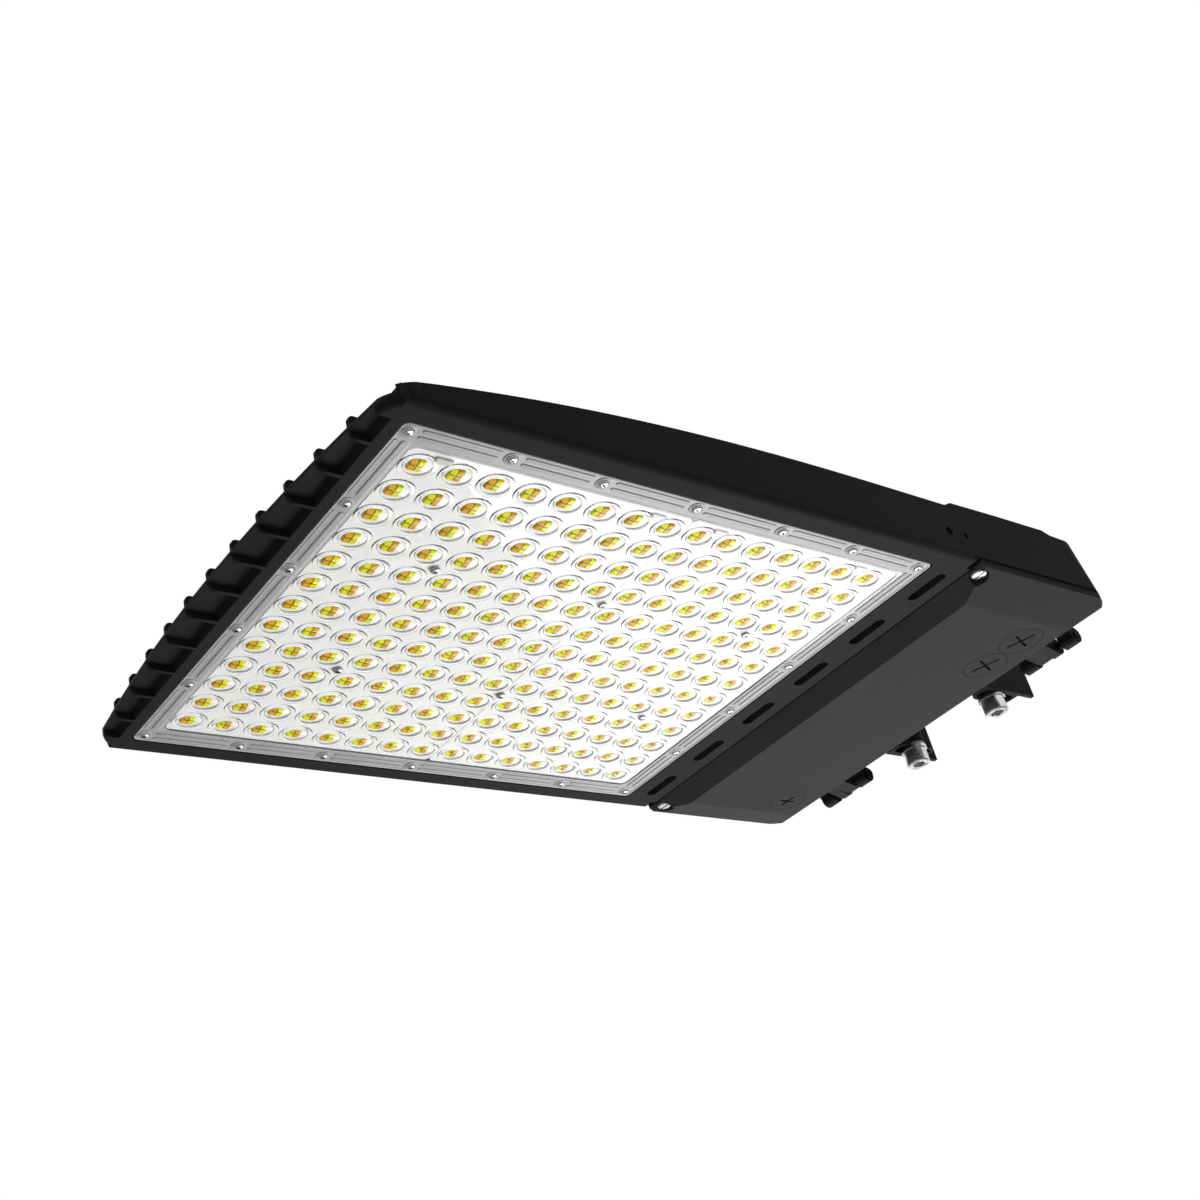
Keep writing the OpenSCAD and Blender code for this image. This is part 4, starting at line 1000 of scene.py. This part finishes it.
class AREALIGHT_OT_studio(bpy.types.Operator):
    """Camera, pale floor, white surroundings and soft lamps"""
    bl_idname = "arealight.studio"
    bl_label = "Studio"

    def execute(self, context):
        scene = context.scene
        scene.view_settings.view_transform = "Standard"
        add_camera(scene)
        add_floor(scene)
        add_surroundings(scene)
        # Seen through the clear plastic, this lamp's mirror image would hide the LEDs.
        key = add_lamp("lamp_below", (-0.4, 0.6, -1.05), 1.1, 19.5)
        key.visible_transmission = False
        add_lamp("lamp_side", (1.5, -0.1, 0.1), 0.9, 0.3)
        add_lamp("lamp_above", (-0.4, -0.6, 1.6), 1.4, 10.0)
        return {"FINISHED"}


# ---------------------------------------------------------------- panel and run

class AREALIGHT_PT_panel(bpy.types.Panel):
    """Lists the light's pieces in the order they are made"""
    bl_idname = "AREALIGHT_PT_panel"
    bl_label = "Area light"
    bl_space_type = "VIEW_3D"
    bl_region_type = "UI"
    bl_category = "Area light"

    def draw(self, context):
        layout = self.layout
        for group in (context.scene.area_light_sizes, context.scene.area_light_finishes):
            for name in group.bl_rna.properties.keys():
                if name not in ("rna_type", "name"):
                    layout.prop(group, name)
        for step in STEPS:
            layout.operator(step.bl_idname)


STEPS = (
    AREALIGHT_OT_studio, AREALIGHT_OT_casting, AREALIGHT_OT_led_boards,
    AREALIGHT_OT_led_packages, AREALIGHT_OT_lens_field, AREALIGHT_OT_lens_rim,
    AREALIGHT_OT_lens_screws, AREALIGHT_OT_door, AREALIGHT_OT_door_screws,
    AREALIGHT_OT_arm_mount, AREALIGHT_OT_bay_parts,
)
CLASSES = (AreaLightFinishes, AreaLightSizes) + STEPS + (AREALIGHT_PT_panel,)


def register():
    for cls in CLASSES:
        bpy.utils.register_class(cls)
    bpy.types.Scene.area_light_finishes = PointerProperty(type=AreaLightFinishes)
    bpy.types.Scene.area_light_sizes = PointerProperty(type=AreaLightSizes)


def unregister():
    del bpy.types.Scene.area_light_finishes
    del bpy.types.Scene.area_light_sizes
    for cls in reversed(CLASSES):
        bpy.utils.unregister_class(cls)


def main():
    register()
    for step in STEPS:
        category, name = step.bl_idname.split(".")
        getattr(getattr(bpy.ops, category), name)()


if __name__ == "__main__":
    main()
